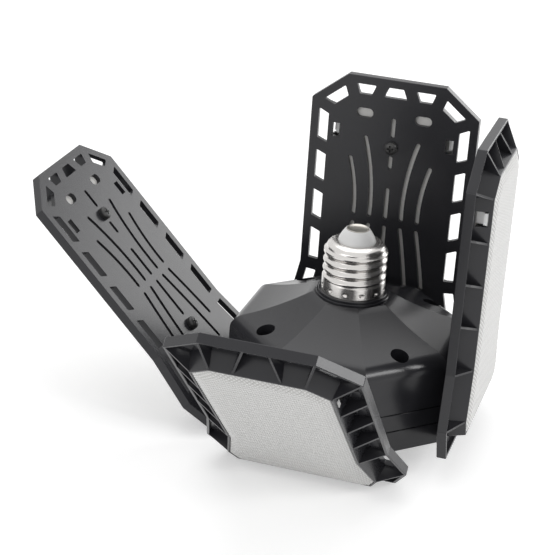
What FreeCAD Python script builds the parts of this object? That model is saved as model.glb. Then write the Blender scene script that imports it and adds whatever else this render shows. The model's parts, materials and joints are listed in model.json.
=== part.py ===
"""Foldable garage light: an octagonal driver housing on a screw cap, with four hinged LED panels.

The origin is on the cap's axis at the lower edge of its skirt, +Z runs up the cap, in millimetres.
The light stands cap up, as it hangs in a ceiling socket, and faces the front along -Y.
"""

import FreeCAD, Part
import math
import os

V = FreeCAD.Vector
UP = V(0, 0, 1)

# ---- screw cap (26 mm screw shell) ----
cap_radius = 13.2
cap_barrel_height = 18.9
cap_wall = 1.3
cap_height = 27.0
insulator_base_height = 21.5
insulator_base_radius = 7.8
contact_radius = 4.7
contact_thickness = 0.9
cap_end_sides = 20

# ---- driver housing ----
housing_apothem = 46.5
housing_corner_radius = 3.0
housing_wall = 2.0
shoulder_radius = 6.8
shoulder_corner_height = -14.5
roof_edge_slope = 0.28
roof_start_apothem = 16.0
roof_start_height = -4.0
roof_sag = 0.7
neck_ledge = 2.5
neck_radius = cap_radius + neck_ledge
neck_bore_apothem = 8.0
neck_plug_height = 17.0
upper_seam_height = -35.4
lower_seam_height = -43.0
housing_bottom = -52.3
seam_groove_height = 0.4
seam_groove_depth = 0.7

# ---- housing screws, on the four diagonals ----
screw_circle_inset = 6.8
screw_circle_radius = housing_apothem - screw_circle_inset
screw_well_radius = 3.75
screw_well_sides = 20
screw_post_radius = 5.0
screw_seat_thickness = 3.0
screw_head_radius = 2.9
screw_head_height = 2.2
screw_shank_radius = 1.5
screw_hole_radius = 1.7
screw_bite = 4.5
head_sides = 8
post_sides = 8
pilot_sides = 6

# ---- driver ----
board_thickness = 1.6
driver_board_apothem = 33.8
driver_shelf_drop = 1.5
driver_shelf_thickness = 1.6
driver_shelf_apothem = 30.5
driver_shelf_half_width = 10.0
transformer_core_size = (24.0, 10.0, 15.0)
transformer_winding_size = (16.8, 20.0, 12.0)
transformer_place = (0.0, 12.0)
capacitor_radius = 6.0
capacitor_height = 16.0
capacitor_place = (-12.0, -14.0)
rectifier_size = (12.0, 4.5, 9.0)
rectifier_place = (10.0, -13.0)

# ---- light in the middle of the base ----
base_floor = 2.5
centre_opening_apothem = 27.0
centre_lens_apothem = 31.0
centre_lens_depth = 3.2
centre_lens_wall = 1.5
centre_board_apothem = 30.5
centre_led_rows = 3

# ---- hinges ----
hinge_inset = 7.5
hinge_radius = housing_apothem - hinge_inset
hinge_height = -48.4
hinge_rise = 9.5
pin_radius = 1.5
pin_fit = 0.02
running_clearance = 0.06
ear_spacing = 20.0
ear_thickness = 3.0
ear_radius = 3.2
ear_foot = 2.0
slot_clearance = 0.4
ear_eye_sides = 6
bore_sides = 8
side_clearance = 0.15
knuckle_radius = 2.4

# ---- foldable panels, measured from the hinge axis outwards ----
panel_reach = 124.2
tip_half_width = 21.2
chamfer_length = 12.3
chamfer_start = panel_reach - chamfer_length
panel_half_width = 36.5
flare_start = 35.4
flare_end = 12.6
flare_half_width = 41.3
base_overhang = 2.2
base_half_width = 35.3
back_thickness = 2.0
rim_height = 3.9
rim_wall = 1.2
box_height = 9.5
box_wall = 0.9
box_foot_inset = 8.0
box_top_inset = 10.2
base_inset_share = 0.82
ledge_width = 1.2
ledge_thickness = 1.0
lens_edge = 1.6
lens_crown = 1.2
lens_crown_run = 3.5
fit_gap = 0.2

# ---- ribs and windows of the panel's gutter ----
rib_thickness = 0.9
rib_slant = math.radians(22.5)
side_rib_places = (92.8, 74.6, 56.7)
tip_rib_place = 4.5
window_outer_inset = 3.5
window_inner_inset = 7.9
window_margin = 2.75

# ---- openings of the panel's back ----
slot_width = 1.9
slot_gap_place = 60.0
slot_gap = 4.8
slot_pitch = 7.15
slot_end_sides = 2
tip_middle_slot_reach = 12.6
tip_screw_slots = ((-8.9, -3.5), (5.0, 12.0))
base_screw_margin = 6.0
# of each fanned slot: its reach from the gap, and its drift sideways halfway and at its end
tip_slots = ((34.8, 0.7, 4.4), (24.8, 0.6, 3.3))
base_slots = ((35.5, 3.1, 5.5), (25.4, 2.5, 4.6))
vent_inset = 16.0
vent_place = panel_reach - vent_inset
vent_spacing = 25.6
vent_length = 7.4
vent_width = 4.2
vent_end_sides = 4
catch_inset = 25.5
catch_place = panel_reach - catch_inset
catch_length = 6.2
catch_width = 3.4
catch_window_low = 3.2
catch_window_high = 8.1
catch_hole_gap = 0.9
hook_thickness = 1.2
hook_play = 0.7
hook_nose_height = 1.5

# ---- LED boards of the panels ----
led_board_thickness = 1.2
board_margin = 1.5
board_notch_margin = 0.6
near_screw_place = 34.4
tip_screw_inset = 29.7
board_screw_places = (near_screw_place, panel_reach - tip_screw_inset)
board_screw_head_radius = 2.8
board_screw_head_height = 2.4
led_size = (3.5, 2.8, 0.7)
led_rows = 2
led_columns = 4
led_area = (82.0, 20.0)

# ---- rest pose: how far each panel is folded up from flat ----
fold_angles = {"front": 45.5, "right": 90.0, "back": 90.0, "left": 46.0}
side_turns = {"right": 0.0, "back": 90.0, "left": 180.0, "front": 270.0}

LARGE = 4.0 * housing_apothem
OCTAGON_TURN = 45.0
OVERSHOOT = 1.0  # how far a cutting tool reaches past what it cuts


# ---------------------------------------------------------------- helpers

def solid_prism(points, low, high):
    """The straight prism over a closed outline of (x, y) points."""
    wire = Part.makePolygon([V(x, y, low) for x, y in points + points[:1]])
    return Part.Face(wire).extrude(V(0, 0, high - low))


def block(x_range, y_range, z_range):
    low = V(x_range[0], y_range[0], z_range[0])
    return Part.makeBox(x_range[1] - x_range[0], y_range[1] - y_range[0], z_range[1] - z_range[0], low)


def cylinder(radius, low, high, x=0.0, y=0.0):
    return Part.makeCylinder(radius, high - low, V(x, y, low))


def round_prism(radius, low, high, x, sides):
    """A small turned piece or its hole, as a prism whose flats stand at the given radius."""
    corner = radius / math.cos(math.pi / sides)
    angles = [2 * math.pi * (i + 0.5) / sides for i in range(sides)]
    return solid_prism([(x + corner * math.cos(a), corner * math.sin(a)) for a in angles], low, high)


def between_rings(rings):
    """A flat-sided solid through stacked rings of as many points each, closed by the first and the last."""
    polygons = [rings[0], rings[-1]]
    for low, high in zip(rings[:-1], rings[1:]):
        polygons += [[low[i - 1], low[i], high[i], high[i - 1]] for i in range(len(low))]
    faces = [Part.Face(Part.makePolygon(points + points[:1])) for points in polygons]
    return Part.makeSolid(Part.makeShell(faces))


def faceted(outline, sides):
    """A small turned piece, from (radius, height) points, with flats whose corners stand at the radii."""
    angles = [2 * math.pi * i / sides for i in range(sides)]
    return between_rings([[V(r * math.cos(a), r * math.sin(a), z) for a in angles] for r, z in outline])


def revolved(points):
    """A full turn about Z of a closed outline of (radius, height) points."""
    wire = Part.makePolygon([V(r, 0, z) for r, z in points + points[:1]])
    return Part.Face(wire).revolve(V(0, 0, 0), UP, 360)


def turned(shape, degrees):
    copy = shape.copy()
    copy.rotate(V(0, 0, 0), UP, degrees)
    return copy


def joined(shapes):
    """One fused solid, with its coplanar faces merged."""
    shapes = list(shapes)
    return shapes[0].multiFuse(shapes[1:]).removeSplitter()


def octagon(apothem, low, high, corner_radius=0.0):
    corner = apothem / math.cos(math.radians(OCTAGON_TURN / 2))
    angles = [math.radians(OCTAGON_TURN * (i + 0.5)) for i in range(8)]
    prism = solid_prism([(corner * math.cos(a), corner * math.sin(a)) for a in angles], low, high)
    if corner_radius <= 0:
        return prism
    upright = [e for e in prism.Edges if abs(e.Vertexes[0].Z - e.Vertexes[1].Z) > 0.5 * (high - low)]
    return prism.makeFillet(corner_radius, upright)


def save(name, shape):
    os.makedirs("parts", exist_ok=True)
    shape.exportStep("parts/" + name + ".step")
    print(name, len(shape.Solids), round(shape.Volume, 1), shape.isValid())


# ---------------------------------------------------------------- screw cap

def cap_shell():
    """Screw shell: barrel as wide as the thread's crests, narrowing to its mouth round the insulator."""
    bore = cap_radius - cap_wall
    outline = [(bore, 0.0), (cap_radius, 0.0), (cap_radius, cap_barrel_height)]
    outline += [(insulator_base_radius, insulator_base_height)]
    outline += [(insulator_base_radius, cap_barrel_height - cap_wall), (bore, cap_barrel_height - cap_wall)]
    return revolved(outline)


def cap_insulator():
    """White insulating cone that stands on the neck's plug and fills the shell's mouth."""
    radius = insulator_base_radius - fit_gap / 2
    outline = [(radius, neck_plug_height), (radius, insulator_base_height)]
    return faceted(outline + [(contact_radius, cap_height - contact_thickness)], cap_end_sides)


def cap_contact():
    """Centre contact: a disc on top of the insulator."""
    return round_prism(contact_radius, cap_height - contact_thickness, cap_height, 0.0, cap_end_sides)


# ---------------------------------------------------------------- housing

def side_section(inset):
    """Half section of one side, moved in by inset: top of the wall, edge of the roof, start of the roof."""
    slope = math.atan(roof_edge_slope)
    reach = (shoulder_radius - inset) * math.tan((math.pi / 2 - slope) / 2)
    corner = V(housing_apothem - inset, 0, shoulder_corner_height - inset)
    wall_top = corner - UP * reach
    roof_edge = corner + V(-math.cos(slope), 0, math.sin(slope)) * reach
    return wall_top, roof_edge, V(roof_start_apothem, 0, roof_start_height - inset)


def outer_roof():
    """Outer section: a round shoulder, then a roof that sags a little towards its middle."""
    wall_top, roof_edge, roof_start = side_section(0.0)
    centre = wall_top - V(shoulder_radius, 0, 0)
    half_turn = math.atan(1 / roof_edge_slope) / 2
    shoulder_middle = centre + V(math.cos(half_turn), 0, math.sin(half_turn)) * shoulder_radius
    roof_middle = (roof_start + roof_edge) * 0.5 - UP * roof_sag
    return [Part.Arc(wall_top, shoulder_middle, roof_edge).toShape(),
            Part.Arc(roof_edge, roof_middle, roof_start).toShape()]


def inner_roof():
    """Inner section, straight from point to point, under the lowest of the sagging roof."""
    wall_top, roof_edge, roof_start = side_section(housing_wall)
    points = [wall_top, roof_edge - UP * roof_sag, roof_start - UP * roof_sag]
    return [Part.makeLine(a, b) for a, b in zip(points[:-1], points[1:])]


def mitred_block(roof):
    """Eight like sides down to the upper seam, whose roof sections meet at mitred creases."""
    wall_top = roof[0].Vertexes[0].Point
    roof_start = roof[-1].Vertexes[-1].Point
    corners = [roof_start, V(0, 0, roof_start.z), V(0, 0, upper_seam_height), V(wall_top.x, 0, upper_seam_height),
               wall_top]
    edges = roof + [Part.makeLine(a, b) for a, b in zip(corners[:-1], corners[1:])]
    profile = Part.Face(Part.Wire(edges))
    profile.translate(V(0, -LARGE / 2, 0))
    half = profile.extrude(V(0, LARGE, 0))
    slabs = []
    for i in range(4):
        slab = turned(half, OCTAGON_TURN * i).fuse(turned(half, OCTAGON_TURN * i + 180))
        slabs.append(slab.removeSplitter())
    return slabs[0].common(slabs[1]).common(slabs[2]).common(slabs[3]).removeSplitter()


def on_diagonals(shape):
    """Four copies of a shape that stands on +X, one on each diagonal."""
    return [turned(shape, OCTAGON_TURN + 90 * i) for i in range(4)]


def seam_groove(height):
    """Thin groove round the housing, just above a seam."""
    ring = octagon(housing_apothem + OVERSHOOT, height, height + seam_groove_height)
    return ring.cut(octagon(housing_apothem - seam_groove_depth, height, height + seam_groove_height))


def upper_housing():
    """Roof and upper wall in one moulding, with the neck for the cap and four screw wells."""
    rounded_wall = octagon(housing_apothem, upper_seam_height, 0, housing_corner_radius)
    outer = mitred_block(outer_roof()).common(rounded_wall)
    posts = on_diagonals(round_prism(screw_post_radius, upper_seam_height, 0, screw_circle_radius, post_sides))
    cavity = mitred_block(inner_roof()).cut(posts[0].multiFuse(posts[1:]))
    ceiling = roof_start_height - housing_wall - roof_sag
    plug_corner = cap_radius - cap_wall - fit_gap / 2
    plug = octagon(plug_corner * math.cos(math.radians(OCTAGON_TURN / 2)), ceiling, neck_plug_height)
    neck = joined([cylinder(neck_radius, ceiling, 0), plug])
    seat = upper_seam_height + screw_seat_thickness
    cuts = on_diagonals(round_prism(screw_well_radius, seat, 0, screw_circle_radius, screw_well_sides))
    cuts += on_diagonals(round_prism(screw_hole_radius, upper_seam_height, seat, screw_circle_radius, pilot_sides))
    cuts += [seam_groove(upper_seam_height), octagon(neck_bore_apothem, ceiling, neck_plug_height)]
    return outer.cut(cavity).fuse(neck).cut(cuts[0].multiFuse(cuts[1:])).removeSplitter()


def middle_housing():
    """Ring between the two seams, with four brackets that carry the driver board."""
    outer = octagon(housing_apothem, lower_seam_height, upper_seam_height, housing_corner_radius)
    shelf_top = upper_seam_height - driver_shelf_drop
    room = octagon(housing_apothem - housing_wall, lower_seam_height, upper_seam_height)
    bracket = block((driver_shelf_apothem, housing_apothem), (-driver_shelf_half_width, driver_shelf_half_width),
                    (shelf_top - driver_shelf_thickness, shelf_top))
    brackets = [turned(bracket, angle) for angle in side_turns.values()]
    room = room.cut(brackets[0].multiFuse(brackets[1:]))
    return outer.cut(room).cut(seam_groove(lower_seam_height)).removeSplitter()


def hinge_slots():
    """Room for the eight ears, from flat to folded up."""
    reach = ear_radius + slot_clearance
    inner = knuckle_half_width()
    outer = ear_spacing / 2 + ear_thickness / 2 + side_clearance
    x_range = (hinge_radius - reach, housing_apothem + OVERSHOOT)
    z_range = (housing_bottom - OVERSHOOT, hinge_height + reach)
    pair = [block(x_range, (inner, outer), z_range), block(x_range, (-outer, -inner), z_range)]
    return [turned(slot, side_turns[side]) for side in side_turns for slot in pair]


def knuckle_half_width():
    """Half the width of the housing's knuckle, which fills the room between the two ears."""
    return ear_spacing / 2 - ear_thickness / 2 - side_clearance


def pin_half_length():
    return ear_spacing / 2 + ear_thickness / 2


def laid_down(shape):
    """A shape that stands on Z, turned to lie along Y."""
    copy = shape.copy()
    copy.rotate(V(0, 0, 0), V(1, 0, 0), -90)
    return copy


def along_hinge(shape):
    """A shape that stands on Z, laid along the hinge axis of the right side."""
    copy = laid_down(shape)
    copy.translate(V(hinge_radius, 0, hinge_height))
    return copy


def hinge_pin():
    return along_hinge(cylinder(pin_radius, -pin_half_length(), pin_half_length()))


def base_cover():
    """Bottom tray with the knuckles of the four hinges and the opening of the middle light."""
    floor_top = housing_bottom + base_floor
    outer = octagon(housing_apothem, housing_bottom, lower_seam_height, housing_corner_radius)
    room = octagon(housing_apothem - housing_wall, floor_top, lower_seam_height)
    half_width = knuckle_half_width()
    knuckle = block((hinge_radius - 1.5 * knuckle_radius, housing_apothem - housing_wall / 2),
                    (-half_width, half_width), (floor_top, hinge_height + knuckle_radius))
    solid = [turned(knuckle, angle) for angle in side_turns.values()]
    solid += on_diagonals(round_prism(screw_post_radius, floor_top, lower_seam_height, screw_circle_radius,
                                      post_sides))
    room = room.cut(solid[0].multiFuse(solid[1:]))
    pin_grip = along_hinge(round_prism(pin_radius + pin_fit, -half_width, half_width, 0.0, pilot_sides))
    cuts = [turned(pin_grip, angle) for angle in side_turns.values()] + hinge_slots()
    cuts += on_diagonals(round_prism(screw_shank_radius + fit_gap / 4, lower_seam_height - screw_bite - fit_gap,
                                     lower_seam_height, screw_circle_radius, pilot_sides))
    cuts += [octagon(centre_opening_apothem, housing_bottom, floor_top)]
    return outer.cut(room).cut(cuts[0].multiFuse(cuts[1:])).removeSplitter()


def pan_head_screw(head_radius, head_height, seat, length, x):
    """Screw along Z whose head stands on the seat height, its shank reaching down by length."""
    head = round_prism(head_radius, seat, seat + head_height, x, head_sides)
    shank = round_prism(screw_shank_radius - fit_gap / 4, seat - length, seat, x, pilot_sides)
    return joined([head, shank])


def housing_screws():
    """Four pan-head screws from the wells down into the base."""
    seat = upper_seam_height + screw_seat_thickness
    length = seat - lower_seam_height + screw_bite
    screw = pan_head_screw(screw_head_radius, screw_head_height, seat, length, screw_circle_radius)
    return Part.makeCompound(on_diagonals(screw))


# ---------------------------------------------------------------- driver and middle light

def driver_board():
    low = upper_seam_height - driver_shelf_drop
    return octagon(driver_board_apothem, low, low + board_thickness)


def standing_box(size, place, foot):
    """A box of length, width and height on a level, centred on a place."""
    length, width, height = size
    x, y = place
    return block((x - length / 2, x + length / 2), (y - width / 2, y + width / 2), (foot, foot + height))


def driver_parts():
    """Transformer with its winding's step, filter capacitor and rectifier, standing on the driver board."""
    top = upper_seam_height - driver_shelf_drop + board_thickness
    core = standing_box(transformer_core_size, transformer_place, top)
    winding = standing_box(transformer_winding_size, transformer_place, top)
    capacitor = round_prism(capacitor_radius, top, top + capacitor_height, 0.0, head_sides)
    capacitor.translate(V(*capacitor_place, 0))
    rectifier = standing_box(rectifier_size, rectifier_place, top)
    return {"transformer": joined([core, winding]), "filter_capacitor": capacitor, "rectifier": rectifier}


def centre_light():
    """Shallow octagonal diffuser under the base, its board above the opening, and the LEDs between."""
    top = housing_bottom
    low = housing_bottom - centre_lens_depth
    cup = octagon(centre_lens_apothem, low, top)
    cup = cup.cut(octagon(centre_lens_apothem - centre_lens_wall, low + centre_lens_wall, top))
    floor_top = housing_bottom + base_floor
    board = octagon(centre_board_apothem, floor_top, floor_top + led_board_thickness)
    pitch = 2 * centre_opening_apothem / (centre_led_rows + 1)
    places = [(i - (centre_led_rows - 1) / 2) * pitch for i in range(centre_led_rows)]
    leds = [standing_box(led_size, (x, y), floor_top - led_size[2]) for x in places for y in places]
    return {"centre_lens": cup, "centre_led_board": board, "centre_leds": Part.makeCompound(leds)}


# ---------------------------------------------------------------- panels

def panel_outline(inset=0.0):
    """The panel's ten-sided outline, every side moved in by inset (the base side a little less)."""
    half = [(-base_overhang, base_half_width), (flare_end, flare_half_width), (flare_start, panel_half_width),
            (chamfer_start, panel_half_width), (panel_reach, tip_half_width)]
    points = [(x, -y) for x, y in half] + [(x, y) for x, y in reversed(half)]
    moved = []
    for i in range(len(points)):
        before, here, after = points[i - 1], points[i], points[(i + 1) % len(points)]
        moved.append(offset_corner(before, here, after, inset, i))
    return moved


def offset_corner(before, here, after, inset, index):
    """Where the two sides that meet at a corner cross once each has moved in."""
    lines = []
    for start, end, is_base in ((before, here, index == 0), (here, after, index == 9)):
        length = math.hypot(end[0] - start[0], end[1] - start[1])
        normal = ((start[1] - end[1]) / length, (end[0] - start[0]) / length)
        depth = inset * (base_inset_share if is_base else 1.0)
        lines.append((normal, normal[0] * here[0] + normal[1] * here[1] + depth))
    (n1, c1), (n2, c2) = lines
    det = n1[0] * n2[1] - n1[1] * n2[0]
    return ((c1 * n2[1] - c2 * n1[1]) / det, (n1[0] * c2 - n2[0] * c1) / det)


def depth(w):
    """Height in the flat panel's own frame of a level that is w in front of its back face."""
    return -hinge_rise - w


def drafted(foot_inset, top_inset, foot, top):
    """A flat-sided body between two levels whose outline changes from one inset to another."""
    return between_rings([[V(x, y, depth(top)) for x, y in panel_outline(top_inset)],
                          [V(x, y, depth(foot)) for x, y in panel_outline(foot_inset)]])


def straight_body(inset, foot, top):
    return solid_prism(panel_outline(inset), depth(top), depth(foot))


def box_inset(w):
    """How far in the outer face of the lens box stands at level w."""
    return box_foot_inset + (box_top_inset - box_foot_inset) * w / box_height


class Rib:
    """A gutter rib's line in plan: a start on the panel's edge and the drift of each mm inwards."""

    def __init__(self, start, step):
        self.start = start
        self.step = step

    def at(self, inset, along=0.0, direction=(0.0, 0.0)):
        return (self.start[0] + self.step[0] * inset + direction[0] * along,
                self.start[1] + self.step[1] * inset + direction[1] * along)


def corner_rib(index):
    """Rib along the mitre of one corner of the outline."""
    outer = panel_outline(0.0)[index]
    inner = panel_outline(box_top_inset)[index]
    step = ((inner[0] - outer[0]) / box_top_inset, (inner[1] - outer[1]) / box_top_inset)
    return Rib(outer, step)


def gutter():
    """The ribs in order round the panel from base to tip to base, with the direction of each side."""
    drift = math.tan(rib_slant)
    right = [Rib((place, -panel_half_width), (-drift, 1.0)) for place in sorted(side_rib_places)]
    left = [Rib((place, panel_half_width), (-drift, -1.0)) for place in sorted(side_rib_places, reverse=True)]
    tip = [Rib((panel_reach, side * tip_rib_place), (-1.0, side * drift)) for side in (-1, 1)]
    corner = [corner_rib(i) for i in range(10)]
    return (corner[1:3] + right + [corner[3], corner[4]] + tip + [corner[5], corner[6]] + left
            + [corner[7], corner[8]])


def gutter_ribs(ribs):
    """Thin ribs whose top edge slopes from the rim up to the edge of the lens box."""
    shapes = []
    for rib in ribs:
        foot = back_thickness / 2
        section = [(rim_wall / 2, foot), (rim_wall / 2, rim_height)]
        section += [(box_inset(box_height) + box_wall / 2, box_height), (box_inset(foot) + box_wall / 2, foot)]
        points = [V(*rib.at(inset), depth(w)) for inset, w in section]
        face = Part.Face(Part.makePolygon(points + points[:1]))
        length = math.hypot(*rib.step)
        across = V(-rib.step[1] / length, rib.step[0] / length, 0) * rib_thickness
        face.translate(across * -0.5)
        shapes.append(face.extrude(across))
    return shapes


def gutter_windows(ribs):
    """Openings through the back, one between each two ribs, with ends that follow the ribs."""
    shapes = []
    for first, second in zip(ribs[:-1], ribs[1:]):
        run = (second.start[0] - first.start[0], second.start[1] - first.start[1])
        length = math.hypot(*run)
        direction = (run[0] / length, run[1] / length)
        points = [first.at(window_outer_inset, window_margin, direction),
                  second.at(window_outer_inset, -window_margin, direction),
                  second.at(window_inner_inset, -window_margin, direction),
                  first.at(window_inner_inset, window_margin, direction)]
        shapes.append(solid_prism(points, depth(back_thickness), depth(0)))
    return shapes


def slot_side(path, half_width, end_sides):
    """The points along the right side of a path and round its far end."""
    headings = [(b - a).normalize() for a, b in zip(path[:-1], path[1:])]
    rights = [V(h.y, -h.x, 0) for h in headings]
    points = []
    for here, before, after in zip(path[1:-1], rights[:-1], rights[1:]):
        points.append(here + (before + after) * (half_width / (1 + before.dot(after))))
    for i in range(end_sides + 1):
        turn = math.pi * i / end_sides
        points.append(path[-1] + (rights[-1] * math.cos(turn) + headings[-1] * math.sin(turn)) * half_width)
    return points


def slot(places, width, end_sides):
    """Round-ended slot through the back along two or three places in plan."""
    path = [V(x, y, depth(back_thickness)) for x, y in places]
    points = slot_side(path, width / 2, end_sides) + slot_side(path[::-1], width / 2, end_sides)
    return Part.Face(Part.makePolygon(points + points[:1])).extrude(V(0, 0, back_thickness))


def back_slots():
    """The fan of cooling slots, one group towards the tip and one towards the base, and two vents."""
    near_screw, tip_screw = board_screw_places
    high = slot_gap_place + slot_gap / 2
    low = slot_gap_place - slot_gap / 2
    paths = [[(high, 0), (high + tip_middle_slot_reach, 0)], [(near_screw + base_screw_margin, 0), (low, 0)]]
    paths += [[(tip_screw + start, 0), (tip_screw + end, 0)] for start, end in tip_screw_slots]
    for start, way, group in ((high, 1, tip_slots), (low, -1, base_slots)):
        for row, (reach, half_drift, end_drift) in enumerate(group, 1):
            for side in (-1, 1):
                v = row * slot_pitch
                paths.append([(start, side * v), (start + way * reach / 2, side * (v + half_drift)),
                              (start + way * reach, side * (v + end_drift))])
    vent_reach = (vent_length - vent_width) / 2
    vents = [[(vent_place, v - vent_reach), (vent_place, v + vent_reach)]
             for v in (-vent_spacing / 2, vent_spacing / 2)]
    return ([slot(path, slot_width, slot_end_sides) for path in paths]
            + [slot(path, vent_width, vent_end_sides) for path in vents])


def catch_cuts():
    """Square openings for the diffuser's two hooks: through the box wall, and through the back beside it."""
    length = (catch_place - catch_length / 2, catch_place + catch_length / 2)
    wall_out = panel_half_width - box_inset(0) + OVERSHOOT
    wall_in = panel_half_width - box_inset(box_height) - box_wall - ledge_width - OVERSHOOT
    hole_out = panel_half_width - box_inset(0) - box_wall - catch_hole_gap
    window = block(length, (wall_in, wall_out), (depth(catch_window_high), depth(catch_window_low)))
    hole = block(length, (hole_out - catch_width, hole_out), (depth(back_thickness), depth(0)))
    return both_sides([window, hole])


def both_sides(shapes):
    """Shapes on the panel's +Y side, and their mirror images on the other."""
    return shapes + [shape.mirror(V(0, 0, 0), V(0, 1, 0)) for shape in shapes]


def hinge_ears():
    """Two ears that stand from the back to the hinge axis, bored for the pin."""
    foot = depth(0)
    first = math.acos(base_overhang / ear_radius) - math.pi
    sweep = 2 * math.pi + first
    eye = [first - sweep * i / ear_eye_sides for i in range(ear_eye_sides + 1)]
    outline = [(-base_overhang, foot)] + [(ear_radius * math.cos(a), ear_radius * math.sin(a)) for a in eye]
    outline += [(ear_radius, foot + ear_foot), (ear_radius + ear_foot, foot)]
    points = [V(x, (ear_spacing - ear_thickness) / 2, z) for x, z in outline]
    ear = Part.Face(Part.makePolygon(points + points[:1])).extrude(V(0, ear_thickness, 0))
    bore = laid_down(round_prism(pin_radius + running_clearance, 0, ear_spacing, 0.0, bore_sides))
    return both_sides([ear.cut(bore)])


def panel_frame():
    """Moulded back: plate, rim, drafted lens box, gutter ribs and windows, slots and hinge ears."""
    rim = straight_body(0, 0, rim_height).cut(straight_body(rim_wall, 0, rim_height))
    plate = straight_body(0, 0, back_thickness)
    box = drafted(box_foot_inset, box_top_inset, 0, box_height)
    box = box.cut(drafted(box_foot_inset + box_wall, box_top_inset + box_wall, 0, box_height))
    ledge_low = box_height - lens_edge - ledge_thickness
    wall_middle = box_inset(box_height) + box_wall / 2
    ledge = straight_body(wall_middle, ledge_low, ledge_low + ledge_thickness)
    ledge = ledge.cut(straight_body(wall_middle + box_wall / 2 + ledge_width, ledge_low, ledge_low + ledge_thickness))
    ribs = gutter()
    solid = joined([plate, rim, box, ledge] + gutter_ribs(ribs))
    screw_holes = [round_prism(screw_hole_radius, depth(back_thickness), depth(0), x, pilot_sides)
                   for x in board_screw_places]
    cuts = gutter_windows(ribs) + back_slots() + catch_cuts() + screw_holes
    return joined([solid.cut(cuts[0].multiFuse(cuts[1:]))] + hinge_ears())


def panel_lens():
    """Crowned diffuser that lies on the box's ledge and snaps in with two hooks."""
    inset = box_top_inset + box_wall + fit_gap
    edge_low = box_height - lens_edge
    slab = straight_body(inset, edge_low, box_height)
    crown = drafted(inset, inset + lens_crown_run, box_height, box_height + lens_crown)
    length = (catch_place - catch_length / 2 + hook_play, catch_place + catch_length / 2 - hook_play)
    outer = panel_half_width - box_inset(catch_window_high) - box_wall - fit_gap
    tongue = block(length, (outer - hook_thickness, outer), (depth(edge_low + lens_edge / 2),
                                                             depth(catch_window_low + fit_gap)))
    nose_top = catch_window_high - fit_gap
    nose = block(length, (outer - hook_thickness / 2, outer + box_wall + fit_gap),
                 (depth(nose_top), depth(nose_top - hook_nose_height)))
    return joined([slab, crown] + both_sides([tongue, nose]))


def led_board():
    """Aluminium board that lies on the inside of the back, notched round the hooks."""
    inset = box_foot_inset + box_wall + board_margin
    top = back_thickness + led_board_thickness
    board = straight_body(inset, back_thickness, top)
    holes = [round_prism(screw_shank_radius + fit_gap / 4, depth(top), depth(back_thickness), x, pilot_sides)
             for x in board_screw_places]
    hole_out = panel_half_width - box_inset(0) - box_wall - catch_hole_gap
    reach = catch_length / 2 + board_notch_margin
    notch = block((catch_place - reach, catch_place + reach),
                  (hole_out - catch_width - board_notch_margin, panel_half_width), (depth(top), depth(back_thickness)))
    return board.cut(holes[0].multiFuse(holes[1:] + both_sides([notch])))


def led_chips():
    """Rows of LEDs on the board, facing the diffuser."""
    middle = (board_screw_places[0] + board_screw_places[1]) / 2
    foot = depth(back_thickness + led_board_thickness) - led_size[2]
    chips = []
    for i in range(led_columns):
        for j in range(led_rows):
            place = (middle + (i / (led_columns - 1) - 0.5) * led_area[0], (j / (led_rows - 1) - 0.5) * led_area[1])
            chips.append(standing_box(led_size, place, foot))
    return Part.makeCompound(chips)


def board_screws():
    """Two pan-head screws from the back into the board."""
    length = back_thickness + led_board_thickness
    return Part.makeCompound([pan_head_screw(board_screw_head_radius, board_screw_head_height, depth(0), length, x)
                              for x in board_screw_places])


def folded(shape, side):
    """Carry a flat panel's piece to its side of the housing and fold it up to its rest angle."""
    copy = shape.copy()
    copy.rotate(V(0, 0, 0), V(0, 1, 0), -fold_angles[side])
    copy.translate(V(hinge_radius, 0, hinge_height))
    return turned(copy, side_turns[side])


# ---------------------------------------------------------------- assembly

def main():
    pieces = {
        "cap_shell": cap_shell(),
        "cap_insulator": cap_insulator(),
        "cap_contact": cap_contact(),
        "upper_housing": upper_housing(),
        "middle_housing": middle_housing(),
        "base_cover": base_cover(),
        "housing_screws": housing_screws(),
        "driver_board": driver_board(),
    }
    pieces.update(driver_parts())
    pieces.update(centre_light())
    flat_panel = {"panel_frame": panel_frame(), "panel_lens": panel_lens(), "led_board": led_board(),
                  "led_chips": led_chips(), "board_screws": board_screws()}
    pin = hinge_pin()
    for side, angle in side_turns.items():
        pieces["hinge_pin_" + side] = turned(pin, angle)
        for name, shape in flat_panel.items():
            pieces[name + "_" + side] = folded(shape, side)
    for name, shape in pieces.items():
        save(name, shape)


main()
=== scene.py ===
"""Foldable garage light: the looks of its housing, screw cap and four hinged light panels.

Sizes are in metres. A panel is built flat, with u running outwards from its hinge, v along the
hinge and h from its back face towards its light, and is then carried to its side of the housing.
"""

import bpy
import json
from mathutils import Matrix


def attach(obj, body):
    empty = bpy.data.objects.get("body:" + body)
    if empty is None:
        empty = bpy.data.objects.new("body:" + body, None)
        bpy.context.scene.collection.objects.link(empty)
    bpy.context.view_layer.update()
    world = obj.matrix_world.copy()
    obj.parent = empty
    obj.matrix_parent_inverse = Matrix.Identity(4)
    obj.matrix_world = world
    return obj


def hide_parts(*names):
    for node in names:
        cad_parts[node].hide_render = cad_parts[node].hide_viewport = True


bl_info = {
    "name": "Foldable Garage Light",
    "version": (1, 0, 0),
    "blender": (4, 5, 0),
    "location": "3D View > Sidebar > Garage Light",
    "description": "Builds the looks of a foldable garage light on its packed parts",
    "category": "Object",
}

import json
import math

import bmesh
import bpy
from bpy.props import FloatProperty, FloatVectorProperty, IntProperty
from mathutils import Matrix, Vector

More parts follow.
